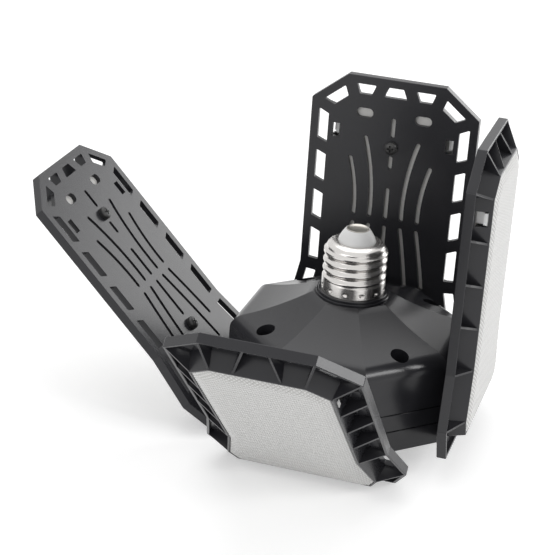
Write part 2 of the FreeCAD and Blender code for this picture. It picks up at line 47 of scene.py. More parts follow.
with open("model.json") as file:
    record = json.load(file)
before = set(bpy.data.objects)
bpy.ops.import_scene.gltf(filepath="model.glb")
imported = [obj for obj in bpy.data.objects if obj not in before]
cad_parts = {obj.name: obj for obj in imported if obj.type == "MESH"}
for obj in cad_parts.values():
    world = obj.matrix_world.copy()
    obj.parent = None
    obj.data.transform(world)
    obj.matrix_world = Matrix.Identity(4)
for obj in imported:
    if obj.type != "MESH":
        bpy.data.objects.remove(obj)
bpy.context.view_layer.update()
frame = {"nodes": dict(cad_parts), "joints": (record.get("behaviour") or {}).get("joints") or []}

MM = 0.001
SIDES = ("front", "right", "back", "left")
OCTAGON_SIDES = 8
OCTAGON_CORNER = math.radians(22.5)
SMOOTH_ANGLE = math.radians(28.0)

CLEAR = 1.0 * MM
FIT_GAP = 0.2 * MM
MERGE = 0.01 * MM
TINY = 1e-7
HOLE_SIDES = 24
ROUND_SIDES = 48
ROUNDING_LIMIT = 0.45

# ---- screw cap ----
SHELL_TOP = 18.6 * MM
SHELL_EDGE = 0.1 * MM
SHELL_LIP = (1.2 * MM, 0.05 * MM)
SHELL_WALL = 1.45 * MM
SHELL_INSIDE = 1.0 * MM
SHELL_ROWS = 120
SHELL_SIDES = 192
MOUTH_RADIUS = 8.0 * MM
MOUTH_EDGE = (7.85 * MM, 0.1 * MM, 0.8 * MM)
DOME_RISE = 2.85 * MM
DOME_BEND = 0.7
DOME_STEPS = 10
CONE_SIDES = 96
CONE_PROFILE = ((0.0, 17.0), (7.7, 17.0), (7.7, 21.5), (7.6, 22.2), (7.25, 23.1), (6.6, 24.3),
                (5.85, 25.45), (5.35, 26.15), (4.95, 26.6), (4.75, 26.6), (4.7, 26.0), (0.0, 26.0))
DISH_PROFILE = ((0.0, 26.02), (4.62, 26.02), (4.66, 26.75), (4.5, 26.9), (4.3, 26.85), (3.9, 26.55),
                (3.0, 26.35), (1.5, 26.25), (0.0, 26.22))
DISH_SIDES = 64

# ---- housing, as packed ----
APOTHEM = 46.5 * MM
WALL = 2.0 * MM
SHOULDER_RADIUS = 6.8 * MM
SHOULDER_CORNER = -14.5 * MM
ROOF_SLOPE = math.atan(0.28)
PLUG_TOP = 17.0 * MM
PLUG_RADIUS = 11.6 * MM
PLUG_BORE = 8.0 * MM
PLUG_BORE_SIDES = 64
UPPER_SEAM = -35.4 * MM
LOWER_SEAM = -43.0 * MM
BOTTOM = -52.3 * MM
BASE_THICKNESS = 2.5 * MM
GROOVE = (0.7 * MM, 0.4 * MM)
SCREW_CIRCLE = 39.7 * MM
WELL_RADIUS = 3.75 * MM
WELL_TOP = 10.0 * MM
POST_RADIUS = 5.0 * MM
SCREW_HOLE = 1.7 * MM
SCREW_SEAT = -32.4 * MM
OPENING_APOTHEM = 27.0 * MM
CENTRE_LENS_APOTHEM = 31.0 * MM
CENTRE_LENS_DEPTH = 3.2 * MM
CENTRE_CROWN_RUN = 2.0 * MM

# ---- roof and neck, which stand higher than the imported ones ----
ROOF_START = (16.0 * MM, -1.9 * MM)
ROOF_SAG = 1.0 * MM
ROOF_RUN_ON = (4.0 * MM, 0.2 * MM)
CORNER_FADE = 0.35 * MM
NECK_RADIUS = 15.2 * MM
NECK_STEP = (14.3 * MM, -0.9 * MM)
NECK_ROUNDING = 0.2 * MM
NECK_SIDES = 128

# ---- hinges, as packed ----
HINGE_RADIUS = 39.0 * MM
HINGE_HEIGHT = -48.4 * MM
HINGE_RISE = 9.5 * MM
EAR_INNER = 8.5 * MM
EAR_OUTER = 11.5 * MM
EAR_RADIUS = 3.2 * MM
EAR_FOOT = 2.0 * MM
EAR_BORE = 1.56 * MM
EAR_BORE_SIDES = 32
EAR_STEPS = 20
EAR_ROOM = 3.6 * MM
EAR_SIDE_ROOM = 0.15 * MM
KNUCKLE_RADIUS = 2.4 * MM

# ---- panels, as packed but for the third of the middle slots, which is shorter ----
HALF_OUTLINE = tuple((u * MM, v * MM) for u, v in ((-2.2, 35.3), (12.6, 41.3), (35.4, 36.5),
                                                   (111.9, 36.5), (124.2, 21.2)))
BASE_INSET_SHARE = 0.82
PANEL_HALF_WIDTH = HALF_OUTLINE[3][1]
PANEL_REACH = HALF_OUTLINE[4][0]
BACK_THICKNESS = 2.0 * MM
RIM_HEIGHT = 3.9 * MM
RIM_WALL = 1.2 * MM
BOX_HEIGHT = 9.5 * MM
BOX_WALL = 0.9 * MM
BOX_FOOT_INSET = 8.0 * MM
BOX_TOP_INSET = 10.2 * MM
LENS_INSET = 11.3 * MM
LENS_EDGE = 1.6 * MM
LENS_CROWN = 1.2 * MM
LENS_CROWN_RUN = 3.5 * MM
LENS_TIP_GAP = 0.02 * MM
PRISM_TIP_SHARE = 0.04
SEAM_TOLERANCE = 1e-6
RIB_SLANT = math.tan(math.radians(22.5))
RIB_DROPS = (0.1 * MM, 0.15 * MM)
SIDE_RIBS = tuple(u * MM for u in (56.7, 74.6, 92.8))
TIP_RIB = 4.5 * MM
WINDOW_INSETS = (3.5 * MM, 7.9 * MM)
WINDOW_MARGIN = 2.75 * MM
WINDOW_ROUNDING = 0.5 * MM
SLOT_GAP_ENDS = (57.6 * MM, 62.4 * MM)
SLOT_PITCH = 7.15 * MM
TIP_FAN = tuple((a * MM, b * MM, c * MM) for a, b, c in ((34.8, 0.7, 4.4), (24.8, 0.6, 3.3)))
BASE_FAN = tuple((a * MM, b * MM, c * MM) for a, b, c in ((35.5, 3.1, 5.5), (25.4, 2.5, 4.6)))
MIDDLE_SLOTS = tuple((a * MM, b * MM) for a, b in ((62.4, 75.0), (40.4, 57.6), (85.4, 89.6),
                                                   (99.5, 106.5)))
VENT_PLACE = 108.2 * MM
VENT_OFFSET = 12.8 * MM
VENT_LENGTH = 7.4 * MM
VENT_END_STEPS = 12
CATCH_PLACE = 98.7 * MM
CATCH_LENGTH = 6.2 * MM
CATCH_WINDOW = (3.2 * MM, 8.1 * MM)
CATCH_HOLE = (23.2 * MM, 26.6 * MM)
CATCH_DEPTH = 3.0 * MM
HOOK_THICKNESS = 1.2 * MM
HOOK_PLAY = 0.7 * MM
HOOK_TOP = 0.8 * MM
HOOK_NOSE = (1.7 * MM, 0.2 * MM)
HOOK_REACH = 0.5 * MM
BOARD_SCREWS = (34.4 * MM, 94.5 * MM)
BOARD_TOP = 3.2 * MM
LED_AREA = (82.0 * MM, 20.0 * MM)
LED_BEVEL = 0.08 * MM
LED_WELL = (0.3 * MM, -0.1 * MM)

# ---- screws ----
HOUSING_SCREW_LENGTH = 15.1 * MM
SCREW_SIDES = 48
SHANK_TIP = (0.2 * MM, 0.3 * MM)
HEAD_EDGE = (0.1 * MM, 0.12 * MM)
HEAD_RIM_SHARE = 0.55
HEAD_FULLNESS = 0.6
HEAD_STEPS = 10
RECESS_TAPER = (0.55, 1.1)
RECESS_RISE = 0.2 * MM

# ---- places of sockets that share a name with others ----
MIX_COLOURS, MIX_RESULT = (6, 7), 2
RANDOM_FLOAT = 1

# ---- lamps: name, place, size and the setting with the brightness; and the floor ----
LAMPS = (("Back Strip", (0.68, 1.2, 0.34), (0.9, 0.42), "back_strip"),
         ("Ceiling Softbox", (-0.2, 0.45, 1.3), (1.3, 1.1), "ceiling"),
         ("Side Softbox", (1.25, -0.15, 0.75), (0.42, 0.42), "side"),
         ("Front Fill", (-0.5, -1.5, 0.15), (1.4, 0.8), "front"))
SENSOR_WIDTH = 36.0
CLIP_RANGE = (0.01, 50.0)
FLOOR_HALF_WIDTH = 3.0
FLOOR_THICKNESS = 0.01
FLOOR_LIFT = 0.45


# ---------------------------------------------------------------- settings

class CapSettings(bpy.types.PropertyGroup):
    """Sizes and colours of the screw cap."""
    crest_radius: FloatProperty(
        name="Crest Radius", description="Radius over the thread's crests",
        default=0.0132, unit="LENGTH", precision=5)
    thread_pitch: FloatProperty(
        name="Thread Pitch", description="Rise of one turn of the thread",
        default=0.00362, unit="LENGTH", precision=5)
    thread_depth: FloatProperty(
        name="Thread Depth", description="Depth of the rolled thread's roots",
        default=0.00105, unit="LENGTH", precision=5)
    thread_start: FloatProperty(
        name="Thread Start", description="Height at which the thread leaves the plain skirt",
        default=0.0048, unit="LENGTH", precision=5)
    thread_end: FloatProperty(
        name="Thread End", description="Height at which the thread runs out below the dome",
        default=0.0176, unit="LENGTH", precision=5)
    dome_inset: FloatProperty(
        name="Dome Inset", description="How much narrower the dome is than the crests",
        default=0.0010, unit="LENGTH", precision=5)
    dimple_count: IntProperty(
        name="Dimples", description="Punched dimples round the skirt",
        default=12, min=1)
    dimple_height: FloatProperty(
        name="Dimple Height", description="Height of the dimples above the skirt's edge",
        default=0.0021, unit="LENGTH", precision=5)
    dimple_radius: FloatProperty(
        name="Dimple Radius", description="Radius of one dimple",
        default=0.0010, unit="LENGTH", precision=5)
    dimple_depth: FloatProperty(
        name="Dimple Depth", description="How far a dimple is punched in",
        default=0.0007, unit="LENGTH", precision=5)
    metal_colour: FloatVectorProperty(
        name="Shell Colour", description="Nickel plating of the screw shell",
        default=(0.70, 0.68, 0.66), subtype="COLOR", min=0.0, max=1.0)
    insulator_colour: FloatVectorProperty(
        name="Insulator Colour", description="Insulating cone at the cap's end",
        default=(0.94, 0.94, 0.935), subtype="COLOR", min=0.0, max=1.0)


class HousingSettings(bpy.types.PropertyGroup):
    """Sizes and colours of the housing's mouldings."""
    corner_radius: FloatProperty(
        name="Corner Radius", description="Radius of the wall's eight corners",
        default=0.0030, unit="LENGTH", precision=5)
    crease_radius: FloatProperty(
        name="Crease Radius", description="Radius of the roof's eight creases",
        default=0.0005, unit="LENGTH", precision=5)
    edge_radius: FloatProperty(
        name="Edge Radius", description="Rounding of the edges at the seams",
        default=0.00018, unit="LENGTH", precision=5)
    plastic_colour: FloatVectorProperty(
        name="Plastic Colour", description="Black moulded plastic",
        default=(0.019, 0.019, 0.022), subtype="COLOR", min=0.0, max=1.0)


class PanelSettings(bpy.types.PropertyGroup):
    """Sizes of the foldable panels' mouldings."""
    corner_radius: FloatProperty(
        name="Corner Radius", description="Rounding of the outline's corners",
        default=0.0008, unit="LENGTH", precision=5)
    edge_radius: FloatProperty(
        name="Edge Radius", description="Rounding of the rim's and the box's edges",
        default=0.00018, unit="LENGTH", precision=5)
    rib_thickness: FloatProperty(
        name="Rib Thickness", description="Thickness of the gutter's ribs",
        default=0.0009, unit="LENGTH", precision=5)
    slot_width: FloatProperty(
        name="Slot Width", description="Width of the cooling slots",
        default=0.0019, unit="LENGTH", precision=5)
    vent_width: FloatProperty(
        name="Vent Width", description="Width of the two vents near the tip",
        default=0.0042, unit="LENGTH", precision=5)


class LensSettings(bpy.types.PropertyGroup):
    """Sizes and colours of the diffusers, with the painted shade between their prisms."""
    prism_diagonal: FloatProperty(
        name="Prism Diagonal", description="Diagonal of one diamond-shaped prism",
        default=0.0019, unit="LENGTH", precision=5)
    prism_height: FloatProperty(
        name="Prism Height", description="Height of the prisms on the diffusers",
        default=0.00045, unit="LENGTH", precision=5)
    colour: FloatVectorProperty(
        name="Diffuser Colour", description="Milky plastic of the diffusers",
        default=(0.95, 0.95, 0.945), subtype="COLOR", min=0.0, max=1.0)
    # Painted shade: this grey darkens the diffusers in the valleys between their prisms.
    valley_colour: FloatVectorProperty(
        name="Painted Valley Shade", description="Diffusers between their prisms",
        default=(0.56, 0.555, 0.54), subtype="COLOR", min=0.0, max=1.0)


class ScrewSettings(bpy.types.PropertyGroup):
    """Sizes of the pan-head screws."""
    head_radius: FloatProperty(
        name="Head Radius", description="Radius of the screws' heads",
        default=0.0028, unit="LENGTH", precision=5)
    head_height: FloatProperty(
        name="Head Height", description="Height of the domed heads",
        default=0.0024, unit="LENGTH", precision=5)
    recess_length: FloatProperty(
        name="Recess Length", description="Length of the cross recess",
        default=0.0031, unit="LENGTH", precision=5)
    recess_width: FloatProperty(
        name="Recess Width", description="Width of the cross recess's arms",
        default=0.00075, unit="LENGTH", precision=5)
    recess_depth: FloatProperty(
        name="Recess Depth", description="Depth of the cross recess",
        default=0.0012, unit="LENGTH", precision=5)
    shank_radius: FloatProperty(
        name="Shank Radius", description="Radius of the screws' shanks",
        default=0.00145, unit="LENGTH", precision=5)


class LightSettings(bpy.types.PropertyGroup):
    """Sizes and rows of the LEDs."""
    led_length: FloatProperty(
        name="LED Length", description="Length of one LED",
        default=0.0035, unit="LENGTH", precision=5)
    led_width: FloatProperty(
        name="LED Width", description="Width of one LED",
        default=0.0028, unit="LENGTH", precision=5)
    led_height: FloatProperty(
        name="LED Height", description="Height of one LED",
        default=0.0007, unit="LENGTH", precision=5)
    panel_columns: IntProperty(
        name="Panel Columns", description="LEDs along a panel",
        default=4, min=2)
    panel_rows: IntProperty(
        name="Panel Rows", description="LEDs across a panel",
        default=2, min=1)
    centre_rows: IntProperty(
        name="Centre Rows", description="Rows of LEDs in the middle light",
        default=3, min=1)


class StageSettings(bpy.types.PropertyGroup):
    """Camera, lamps and floor."""
    camera_place: FloatVectorProperty(
        name="Camera Place", description="Where the camera stands",
        default=(0.150561, -0.643496, 0.291401), subtype="XYZ", unit="LENGTH")
    azimuth: FloatProperty(
        name="Azimuth", description="Camera's turn round the light",
        default=math.radians(15.889), subtype="ANGLE")
    elevation: FloatProperty(
        name="Elevation", description="How far the camera looks down",
        default=math.radians(23.638), subtype="ANGLE")
    roll: FloatProperty(
        name="Roll", description="Camera's turn about its own line of sight",
        default=math.radians(3.946), subtype="ANGLE")
    focal_length: FloatProperty(
        name="Focal Length", description="Focal length on a 36 mm wide sensor",
        default=113.22, subtype="DISTANCE_CAMERA")
    floor_level: FloatProperty(
        name="Floor Level", description="Height of the floor",
        default=-0.0600, unit="LENGTH", precision=4)
    floor_colour: FloatVectorProperty(
        name="Floor Colour", description="Pale floor",
        default=(0.80, 0.80, 0.80), subtype="COLOR", min=0.0, max=1.0)
    room_light: FloatProperty(
        name="Room Light", description="Strength of the even light from all round",
        default=0.56, min=0.0)
    back_strip: FloatProperty(
        name="Back Strip", description="Brightness of the low lamp behind",
        default=2.6, min=0.0)
    ceiling: FloatProperty(
        name="Ceiling Softbox", description="Brightness of the softbox overhead",
        default=1.2, min=0.0)
    side: FloatProperty(
        name="Side Softbox", description="Brightness of the softbox on the right",
        default=10.0, min=0.0)
    front: FloatProperty(
        name="Front Fill", description="Brightness of the low fill in front",
        default=1.2, min=0.0)


# ---------------------------------------------------------------- meshes

def linked(name, data):
    """A new object at the origin, in the scene."""
    made = bpy.data.objects.new(name, data)
    bpy.context.scene.collection.objects.link(made)
    return made


def mesh_of(bm):
    """A plain mesh from an edit mesh, which is freed."""
    mesh = bpy.data.meshes.new("mesh")
    bm.to_mesh(mesh)
    bm.free()
    return mesh


def ring_solid(rings, closed=False):
    """A mesh through rings of as many points each: capped at both ends, or a closed tube."""
    bm = bmesh.new()
    loops = [[bm.verts.new(point) for point in ring] for ring in rings]
    pairs = list(zip(loops[:-1], loops[1:]))
    if closed:
        pairs.append((loops[-1], loops[0]))
    else:
        bm.faces.new(loops[0])
        bm.faces.new(loops[-1])
    for low, high in pairs:
        for i in range(len(low)):
            bm.faces.new((low[i - 1], low[i], high[i], high[i - 1]))
    bmesh.ops.remove_doubles(bm, verts=bm.verts, dist=TINY)
    bmesh.ops.recalc_face_normals(bm, faces=bm.faces)
    return mesh_of(bm)


def prism(points, low, high, place=lambda x, y, z: (x, y, z)):
    """The prism over a closed plan between two levels; place says which axes they run along."""
    return ring_solid([[place(x, y, z) for x, y in points] for z in (low, high)])


def block(x_range, y_range, z_range):
    """A box between three pairs of limits."""
    (x0, x1), (y0, y1) = x_range, y_range
    return prism([(x0, y0), (x1, y0), (x1, y1), (x0, y1)], *z_range)


def circle(radius, count, turn=0.0):
    """Evenly spaced points round a circle."""
    angles = [turn + 2 * math.pi * i / count for i in range(count)]
    return [(radius * math.cos(a), radius * math.sin(a)) for a in angles]


def lathe(profile, count, closed=False):
    """A turned mesh about Z through (radius, height) points."""
    return ring_solid([[(x, y, z) for x, y in circle(r, count)] for r, z in profile], closed)


def moved(mesh, matrix):
    """A carried copy of a mesh."""
    copy = mesh.copy()
    copy.transform(matrix)
    return copy


def together(meshes):
    """Several meshes in one, none of them touching another."""
    bm = bmesh.new()
    for mesh in meshes:
        bm.from_mesh(mesh)
    return mesh_of(bm)


def plain(holder, *helpers):
    """The evaluated mesh of a holder object, which is removed along with its helpers."""
    graph = bpy.context.evaluated_depsgraph_get()
    mesh = bpy.data.meshes.new_from_object(holder.evaluated_get(graph), depsgraph=graph)
    for unwanted in (holder,) + helpers:
        bpy.data.objects.remove(unwanted)
    return mesh


def combined(mesh, tools, operation):
    """A mesh united with tools, or cut by them, one after another."""
    for tool in tools:
        base, other = linked("base", mesh), linked("tool", tool)
        modifier = base.modifiers.new("Combine", "BOOLEAN")
        modifier.operation = operation
        modifier.solver = "MANIFOLD"
        modifier.object = other
        mesh = plain(base, other)
    return mesh


def shaded(mesh):
    """Smooth where the surface turns gently and crisp at edges; large faces rule the normals."""
    mesh.shade_smooth()
    mesh.set_sharp_from_angle(angle=SMOOTH_ANGLE)
    holder = linked("shaded", mesh)
    modifier = holder.modifiers.new("Normals", "WEIGHTED_NORMAL")
    modifier.keep_sharp = True
    return plain(holder)


def piece(name, mesh, body, material, replaces=()):
    """A finished piece of the object, riding on its body."""
    mesh.name = name
    mesh.materials.clear()
    mesh.materials.append(material)
    made = linked(name, mesh)
    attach(made, body)
    if replaces:
        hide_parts(*replaces)
    return made


def side_matrix(side):
    """Carries a flat panel's (u, v, h) to its place, from the joint that folds it."""
    joint = next(j for j in frame["joints"] if j["child"] == "panel_" + side)
    x, y, z = joint["pos_m"]
    fold = math.radians(joint["range_deg"][0])
    return (Matrix.Rotation(math.atan2(y, x), 4, "Z") @ Matrix.Translation((math.hypot(x, y), 0, z))
            @ Matrix.Rotation(fold, 4, "Y") @ Matrix.Translation((0, 0, -HINGE_RISE))
            @ Matrix.Rotation(math.pi, 4, "X"))


def centre_matrix():
    """Carries the middle light's pieces under the housing, facing down."""
    return Matrix.Translation((0, 0, BOTTOM)) @ Matrix.Rotation(math.pi, 4, "X")


# ---------------------------------------------------------------- node trees

class Tree:
    """A Geometry Nodes tree being built, with named sizes as its inputs."""

    def __init__(self, name):
        self.group = bpy.data.node_groups.new(name, "GeometryNodeTree")
        for way in ("INPUT", "OUTPUT"):
            self.group.interface.new_socket("Geometry", in_out=way,
                                            socket_type="NodeSocketGeometry")
        self.enter = self.group.nodes.new("NodeGroupInput")
        self.leave = self.group.nodes.new("NodeGroupOutput")
        self.start = self.enter.outputs[0]

    def size(self, name, kind="NodeSocketFloat"):
        """A named input of the tree."""
        item = self.group.interface.new_socket(name, in_out="INPUT", socket_type=kind)
        return next(s for s in self.enter.outputs if s.identifier == item.identifier)

    def add(self, kind, links, **settings):
        """A node whose inputs, by name, are linked or set."""
        node = self.group.nodes.new(kind)
        for key, value in settings.items():
            setattr(node, key, value)
        for name, value in links.items():
            socket = next(s for s in node.inputs if s.name == name and s.enabled)
            self.join(value, socket)
        return node

    def join(self, value, socket):
        """Links a socket, or sets a plain value."""
        if isinstance(value, bpy.types.NodeSocket):
            self.group.links.new(value, socket)
        else:
            socket.default_value = value

    def math(self, operation, *values):
        """The result of a math node."""
        node = self.group.nodes.new("ShaderNodeMath")
        node.operation = operation
        for value, socket in zip(values, node.inputs):
            self.join(value, socket)
        return node.outputs[0]

    def plus(self, a, b):
        return self.math("ADD", a, b)

    def less(self, a, b):
        return self.math("SUBTRACT", a, b)

    def times(self, a, b):
        return self.math("MULTIPLY", a, b)

    def over(self, a, b):
        return self.math("DIVIDE", a, b)

    def ramp(self, value, start, end):
        """0 before start and 1 after end, turning smoothly between them."""
        return self.add("ShaderNodeMapRange", {"Value": value, "From Min": start, "From Max": end},
                        interpolation_type="SMOOTHSTEP").outputs["Result"]

    def vector(self, x, y, z):
        return self.add("ShaderNodeCombineXYZ", {"X": x, "Y": y, "Z": z}).outputs[0]

    def place(self):
        """The x, y and z of each point."""
        position = self.add("GeometryNodeInputPosition", {}).outputs[0]
        split = self.add("ShaderNodeSeparateXYZ", {"Vector": position})
        return tuple(split.outputs)

    def put(self, geometry, position):
        """The geometry with its points moved."""
        return self.add("GeometryNodeSetPosition",
                        {"Geometry": geometry, "Position": position}).outputs[0]

    def end(self, geometry):
        """Ends in real geometry with its material."""
        material = self.size("Material", "NodeSocketMaterial")
        real = self.add("GeometryNodeRealizeInstances", {"Geometry": geometry}).outputs[0]
        coated = self.add("GeometryNodeSetMaterial",
                          {"Geometry": real, "Material": material}).outputs[0]
        self.group.links.new(coated, self.leave.inputs[0])
        return self.group


def grown(mesh, group, material, **sizes):
    """What a tree grows from a mesh, as a plain mesh.

    Sizes go by the names of the tree's inputs, with underscores for spaces.
    """
    holder = linked("grown", mesh)
    modifier = holder.modifiers.new("Grow", "NODES")
    modifier.node_group = group
    sizes["Material"] = material
    for item in group.interface.items_tree:
        if item.in_out == "INPUT" and item.name != "Geometry":
            modifier[item.identifier] = sizes[item.name.replace(" ", "_")]
    return plain(holder)


def thread_tree():
    """Rolls a thread into a turned shell and punches dimples round its skirt."""
    tree = Tree("Rolled Thread")
    crest, pitch, depth = tree.size("Crest Radius"), tree.size("Pitch"), tree.size("Depth")
    start, end = tree.size("Start"), tree.size("End")
    count, level = tree.size("Dimples", "NodeSocketInt"), tree.size("Dimple Height")
    dimple_radius, dimple_depth = tree.size("Dimple Radius"), tree.size("Dimple Depth")
    x, y, z = tree.place()
    radius = tree.math("SQRT", tree.plus(tree.times(x, x), tree.times(y, y)))
    turn = tree.over(tree.math("ARCTAN2", y, x), math.tau)
    run_in, run_out, skin = 0.5, -0.4, 0.4 * MM
    phase = tree.times(tree.less(tree.over(z, pitch), turn), math.tau)
    root = tree.math("MULTIPLY_ADD", tree.math("COSINE", phase), -0.5, 0.5)
    entry = tree.ramp(z, start, tree.math("MULTIPLY_ADD", pitch, run_in, start))
    exit_share = tree.ramp(z, end, tree.math("MULTIPLY_ADD", pitch, run_out, end))
    cut = tree.times(tree.times(root, depth), tree.times(entry, exit_share))
    step = tree.times(turn, count)
    off = tree.less(step, tree.math("ROUND", step))
    arc = tree.times(tree.over(off, count), tree.times(crest, math.tau))
    rise = tree.less(z, level)
    away = tree.math("SQRT", tree.plus(tree.times(arc, arc), tree.times(rise, rise)))
    dent = tree.times(tree.ramp(away, dimple_radius, 0.0), dimple_depth)
    outside = tree.math("GREATER_THAN", radius, tree.less(crest, skin))
    inward = tree.times(outside, tree.plus(cut, dent))
    share = tree.less(1.0, tree.over(inward, radius))
    rolled = tree.put(tree.start, tree.vector(tree.times(x, share), tree.times(y, share), z))
    return tree.end(rolled)


def grid_tree():
    """Sets copies of a piece in even rows and columns, each turned a little differently."""
    tree = Tree("Even Rows")
    columns, rows = tree.size("Columns", "NodeSocketInt"), tree.size("Rows", "NodeSocketInt")
    pitch_u, pitch_v = tree.size("Column Pitch"), tree.size("Row Pitch")
    turn, seed = tree.size("Turn"), tree.size("Seed", "NodeSocketInt")
    index = tree.add("GeometryNodeInputIndex", {}).outputs[0]
    line = tree.add("GeometryNodeMeshLine", {"Count": tree.times(columns, rows)}).outputs[0]
    row = tree.math("FLOOR", tree.over(index, columns))
    column = tree.less(index, tree.times(row, columns))
    middle_u = tree.times(tree.less(columns, 1.0), 0.5)
    middle_v = tree.times(tree.less(rows, 1.0), 0.5)
    points = tree.put(line, tree.vector(
        tree.times(tree.less(column, middle_u), pitch_u),
        tree.times(tree.less(row, middle_v), pitch_v), 0.0))
    return spread(tree, points, turn, seed, 0.0)


def ring_tree():
    """Sets copies of a piece evenly round a circle, each turned a little differently."""
    tree = Tree("Even Ring")
    count = tree.size("Count", "NodeSocketInt")
    radius, first = tree.size("Radius"), tree.size("First Angle")
    turn, seed = tree.size("Turn"), tree.size("Seed", "NodeSocketInt")
    index = tree.add("GeometryNodeInputIndex", {}).outputs[0]
    line = tree.add("GeometryNodeMeshLine", {"Count": count}).outputs[0]
    angle = tree.math("MULTIPLY_ADD", tree.over(index, count), math.tau, first)
    points = tree.put(line, tree.vector(tree.times(tree.math("COSINE", angle), radius),
                                        tree.times(tree.math("SINE", angle), radius), 0.0))
    return spread(tree, points, turn, seed, angle)


def spread(tree, points, turn, seed, angle):
    """Ends a tree with a copy of its own mesh on each point."""
    back = tree.times(turn, -1.0)
    chance = tree.add("FunctionNodeRandomValue",
                      {"Min": back, "Max": turn, "Seed": seed}).outputs[RANDOM_FLOAT]
    rotation = tree.add("FunctionNodeEulerToRotation",
                        {"Euler": tree.vector(0.0, 0.0, tree.plus(chance, angle))}).outputs[0]
    copies = tree.add("GeometryNodeInstanceOnPoints",
                      {"Points": points, "Instance": tree.start,
                       "Rotation": rotation}).outputs[0]
    return tree.end(copies)


def prism_tree():
    """Raises each face of a diffuser into a small pyramid and marks the pyramids' feet, where the
    diffuser's colour is darkened as painted shade.
    """
    tree = Tree("Diffuser Prisms")
    height, tip = tree.size("Height"), tree.size("Tip Share")
    raised = tree.add("GeometryNodeExtrudeMesh",
                      {"Mesh": tree.start, "Offset Scale": height, "Individual": True},
                      mode="FACES")
    peaks = tree.add("GeometryNodeScaleElements",
                     {"Geometry": raised.outputs["Mesh"], "Selection": raised.outputs["Top"],
                      "Scale": tip}).outputs[0]
    # Every point off the prisms' tips is marked for the painted shade in the valleys.
    valley = tree.add("FunctionNodeBooleanMath", {"Boolean": raised.outputs["Top"]},
                      operation="NOT").outputs[0]
    marked = tree.add("GeometryNodeStoreNamedAttribute",
                      {"Geometry": peaks, "Name": "valley", "Value": valley}, data_type="FLOAT",
                      domain="POINT").outputs[0]
    return tree.end(marked)


def rib_tree():
    """Stands a thin rib on each point, its top edge sloping from the rim up to the lens box."""
    tree = Tree("Gutter Ribs")
    thickness, foot, rim = tree.size("Thickness"), tree.size("Foot"), tree.size("Rim Height")
    top, near = tree.size("Box Height"), tree.size("Rim Reach")
    far_low, far_high = tree.size("Foot Reach"), tree.size("Box Reach")
    cube = tree.add("GeometryNodeMeshCube", {"Size": (1.0, 1.0, 1.0)}).outputs[0]
    x, y, z = tree.place()
    along, up = tree.plus(x, 0.5), tree.plus(z, 0.5)
    far = tree.math("MULTIPLY_ADD", tree.less(far_high, far_low), up, far_low)
    reach = tree.math("MULTIPLY_ADD", tree.less(far, near), along, near)
    crest = tree.math("MULTIPLY_ADD", tree.less(top, rim), along, rim)
    level = tree.math("MULTIPLY_ADD", tree.less(crest, foot), up, foot)
    blade = tree.put(cube, tree.vector(reach, tree.times(y, thickness), level))
    turn = tree.add("GeometryNodeInputNamedAttribute", {"Name": "turn"},
                    data_type="FLOAT").outputs[0]
    stretch = tree.add("GeometryNodeInputNamedAttribute", {"Name": "stretch"},
                       data_type="FLOAT").outputs[0]
    rotation = tree.add("FunctionNodeEulerToRotation",
                        {"Euler": tree.vector(0.0, 0.0, turn)}).outputs[0]
    copies = tree.add("GeometryNodeInstanceOnPoints",
                      {"Points": tree.start, "Instance": blade, "Rotation": rotation,
                       "Scale": tree.vector(stretch, 1.0, 1.0)}).outputs[0]
    return tree.end(copies)


# ---------------------------------------------------------------- materials

def moulded_group():
    """Soft mottle and fine grain in the object's own space: a colour, a roughness and a height."""
    if "Mottle and Grain" in bpy.data.node_groups:
        return bpy.data.node_groups["Mottle and Grain"]
    group = bpy.data.node_groups.new("Mottle and Grain", "ShaderNodeTree")
    for name, kind in (("Colour", "Color"), ("Mottled Colour", "Color"), ("Mottle Scale", "Float"),
                       ("Grain Scale", "Float"), ("Roughness", "Float"),
                       ("Roughness Spread", "Float"), ("Stretch", "Vector")):
        group.interface.new_socket(name, in_out="INPUT", socket_type="NodeSocket" + kind)
    for name, kind in (("Colour", "Color"), ("Roughness", "Float"), ("Height", "Float")):
        group.interface.new_socket(name, in_out="OUTPUT", socket_type="NodeSocket" + kind)
    nodes, links = group.nodes, group.links
    enter, leave = nodes.new("NodeGroupInput"), nodes.new("NodeGroupOutput")
    place = nodes.new("ShaderNodeTexCoord")
    stretch = nodes.new("ShaderNodeVectorMath")
    stretch.operation = "MULTIPLY"
    links.new(place.outputs["Object"], stretch.inputs[0])
    links.new(enter.outputs["Stretch"], stretch.inputs[1])
    mottle, grain = nodes.new("ShaderNodeTexNoise"), nodes.new("ShaderNodeTexNoise")
    mottle.inputs["Detail"].default_value = 4.0
    grain.inputs["Detail"].default_value = 2.0
    for noise, scale in ((mottle, "Mottle Scale"), (grain, "Grain Scale")):
        links.new(stretch.outputs[0], noise.inputs["Vector"])
        links.new(enter.outputs[scale], noise.inputs["Scale"])
    mix = nodes.new("ShaderNodeMix")
    mix.data_type = "RGBA"
    links.new(mottle.outputs[0], mix.inputs["Factor"])
    for name, place_in_mix in zip(("Colour", "Mottled Colour"), MIX_COLOURS):
        links.new(enter.outputs[name], mix.inputs[place_in_mix])
    centred = nodes.new("ShaderNodeMath")
    centred.operation = "SUBTRACT"
    centred.inputs[1].default_value = 0.5
    links.new(mottle.outputs[0], centred.inputs[0])
    rough = nodes.new("ShaderNodeMath")
    rough.operation = "MULTIPLY_ADD"
    links.new(centred.outputs[0], rough.inputs[0])
    links.new(enter.outputs["Roughness Spread"], rough.inputs[1])
    links.new(enter.outputs["Roughness"], rough.inputs[2])
    links.new(mix.outputs[MIX_RESULT], leave.inputs["Colour"])
    links.new(rough.outputs[0], leave.inputs["Roughness"])
    links.new(grain.outputs[0], leave.inputs["Height"])
    return group


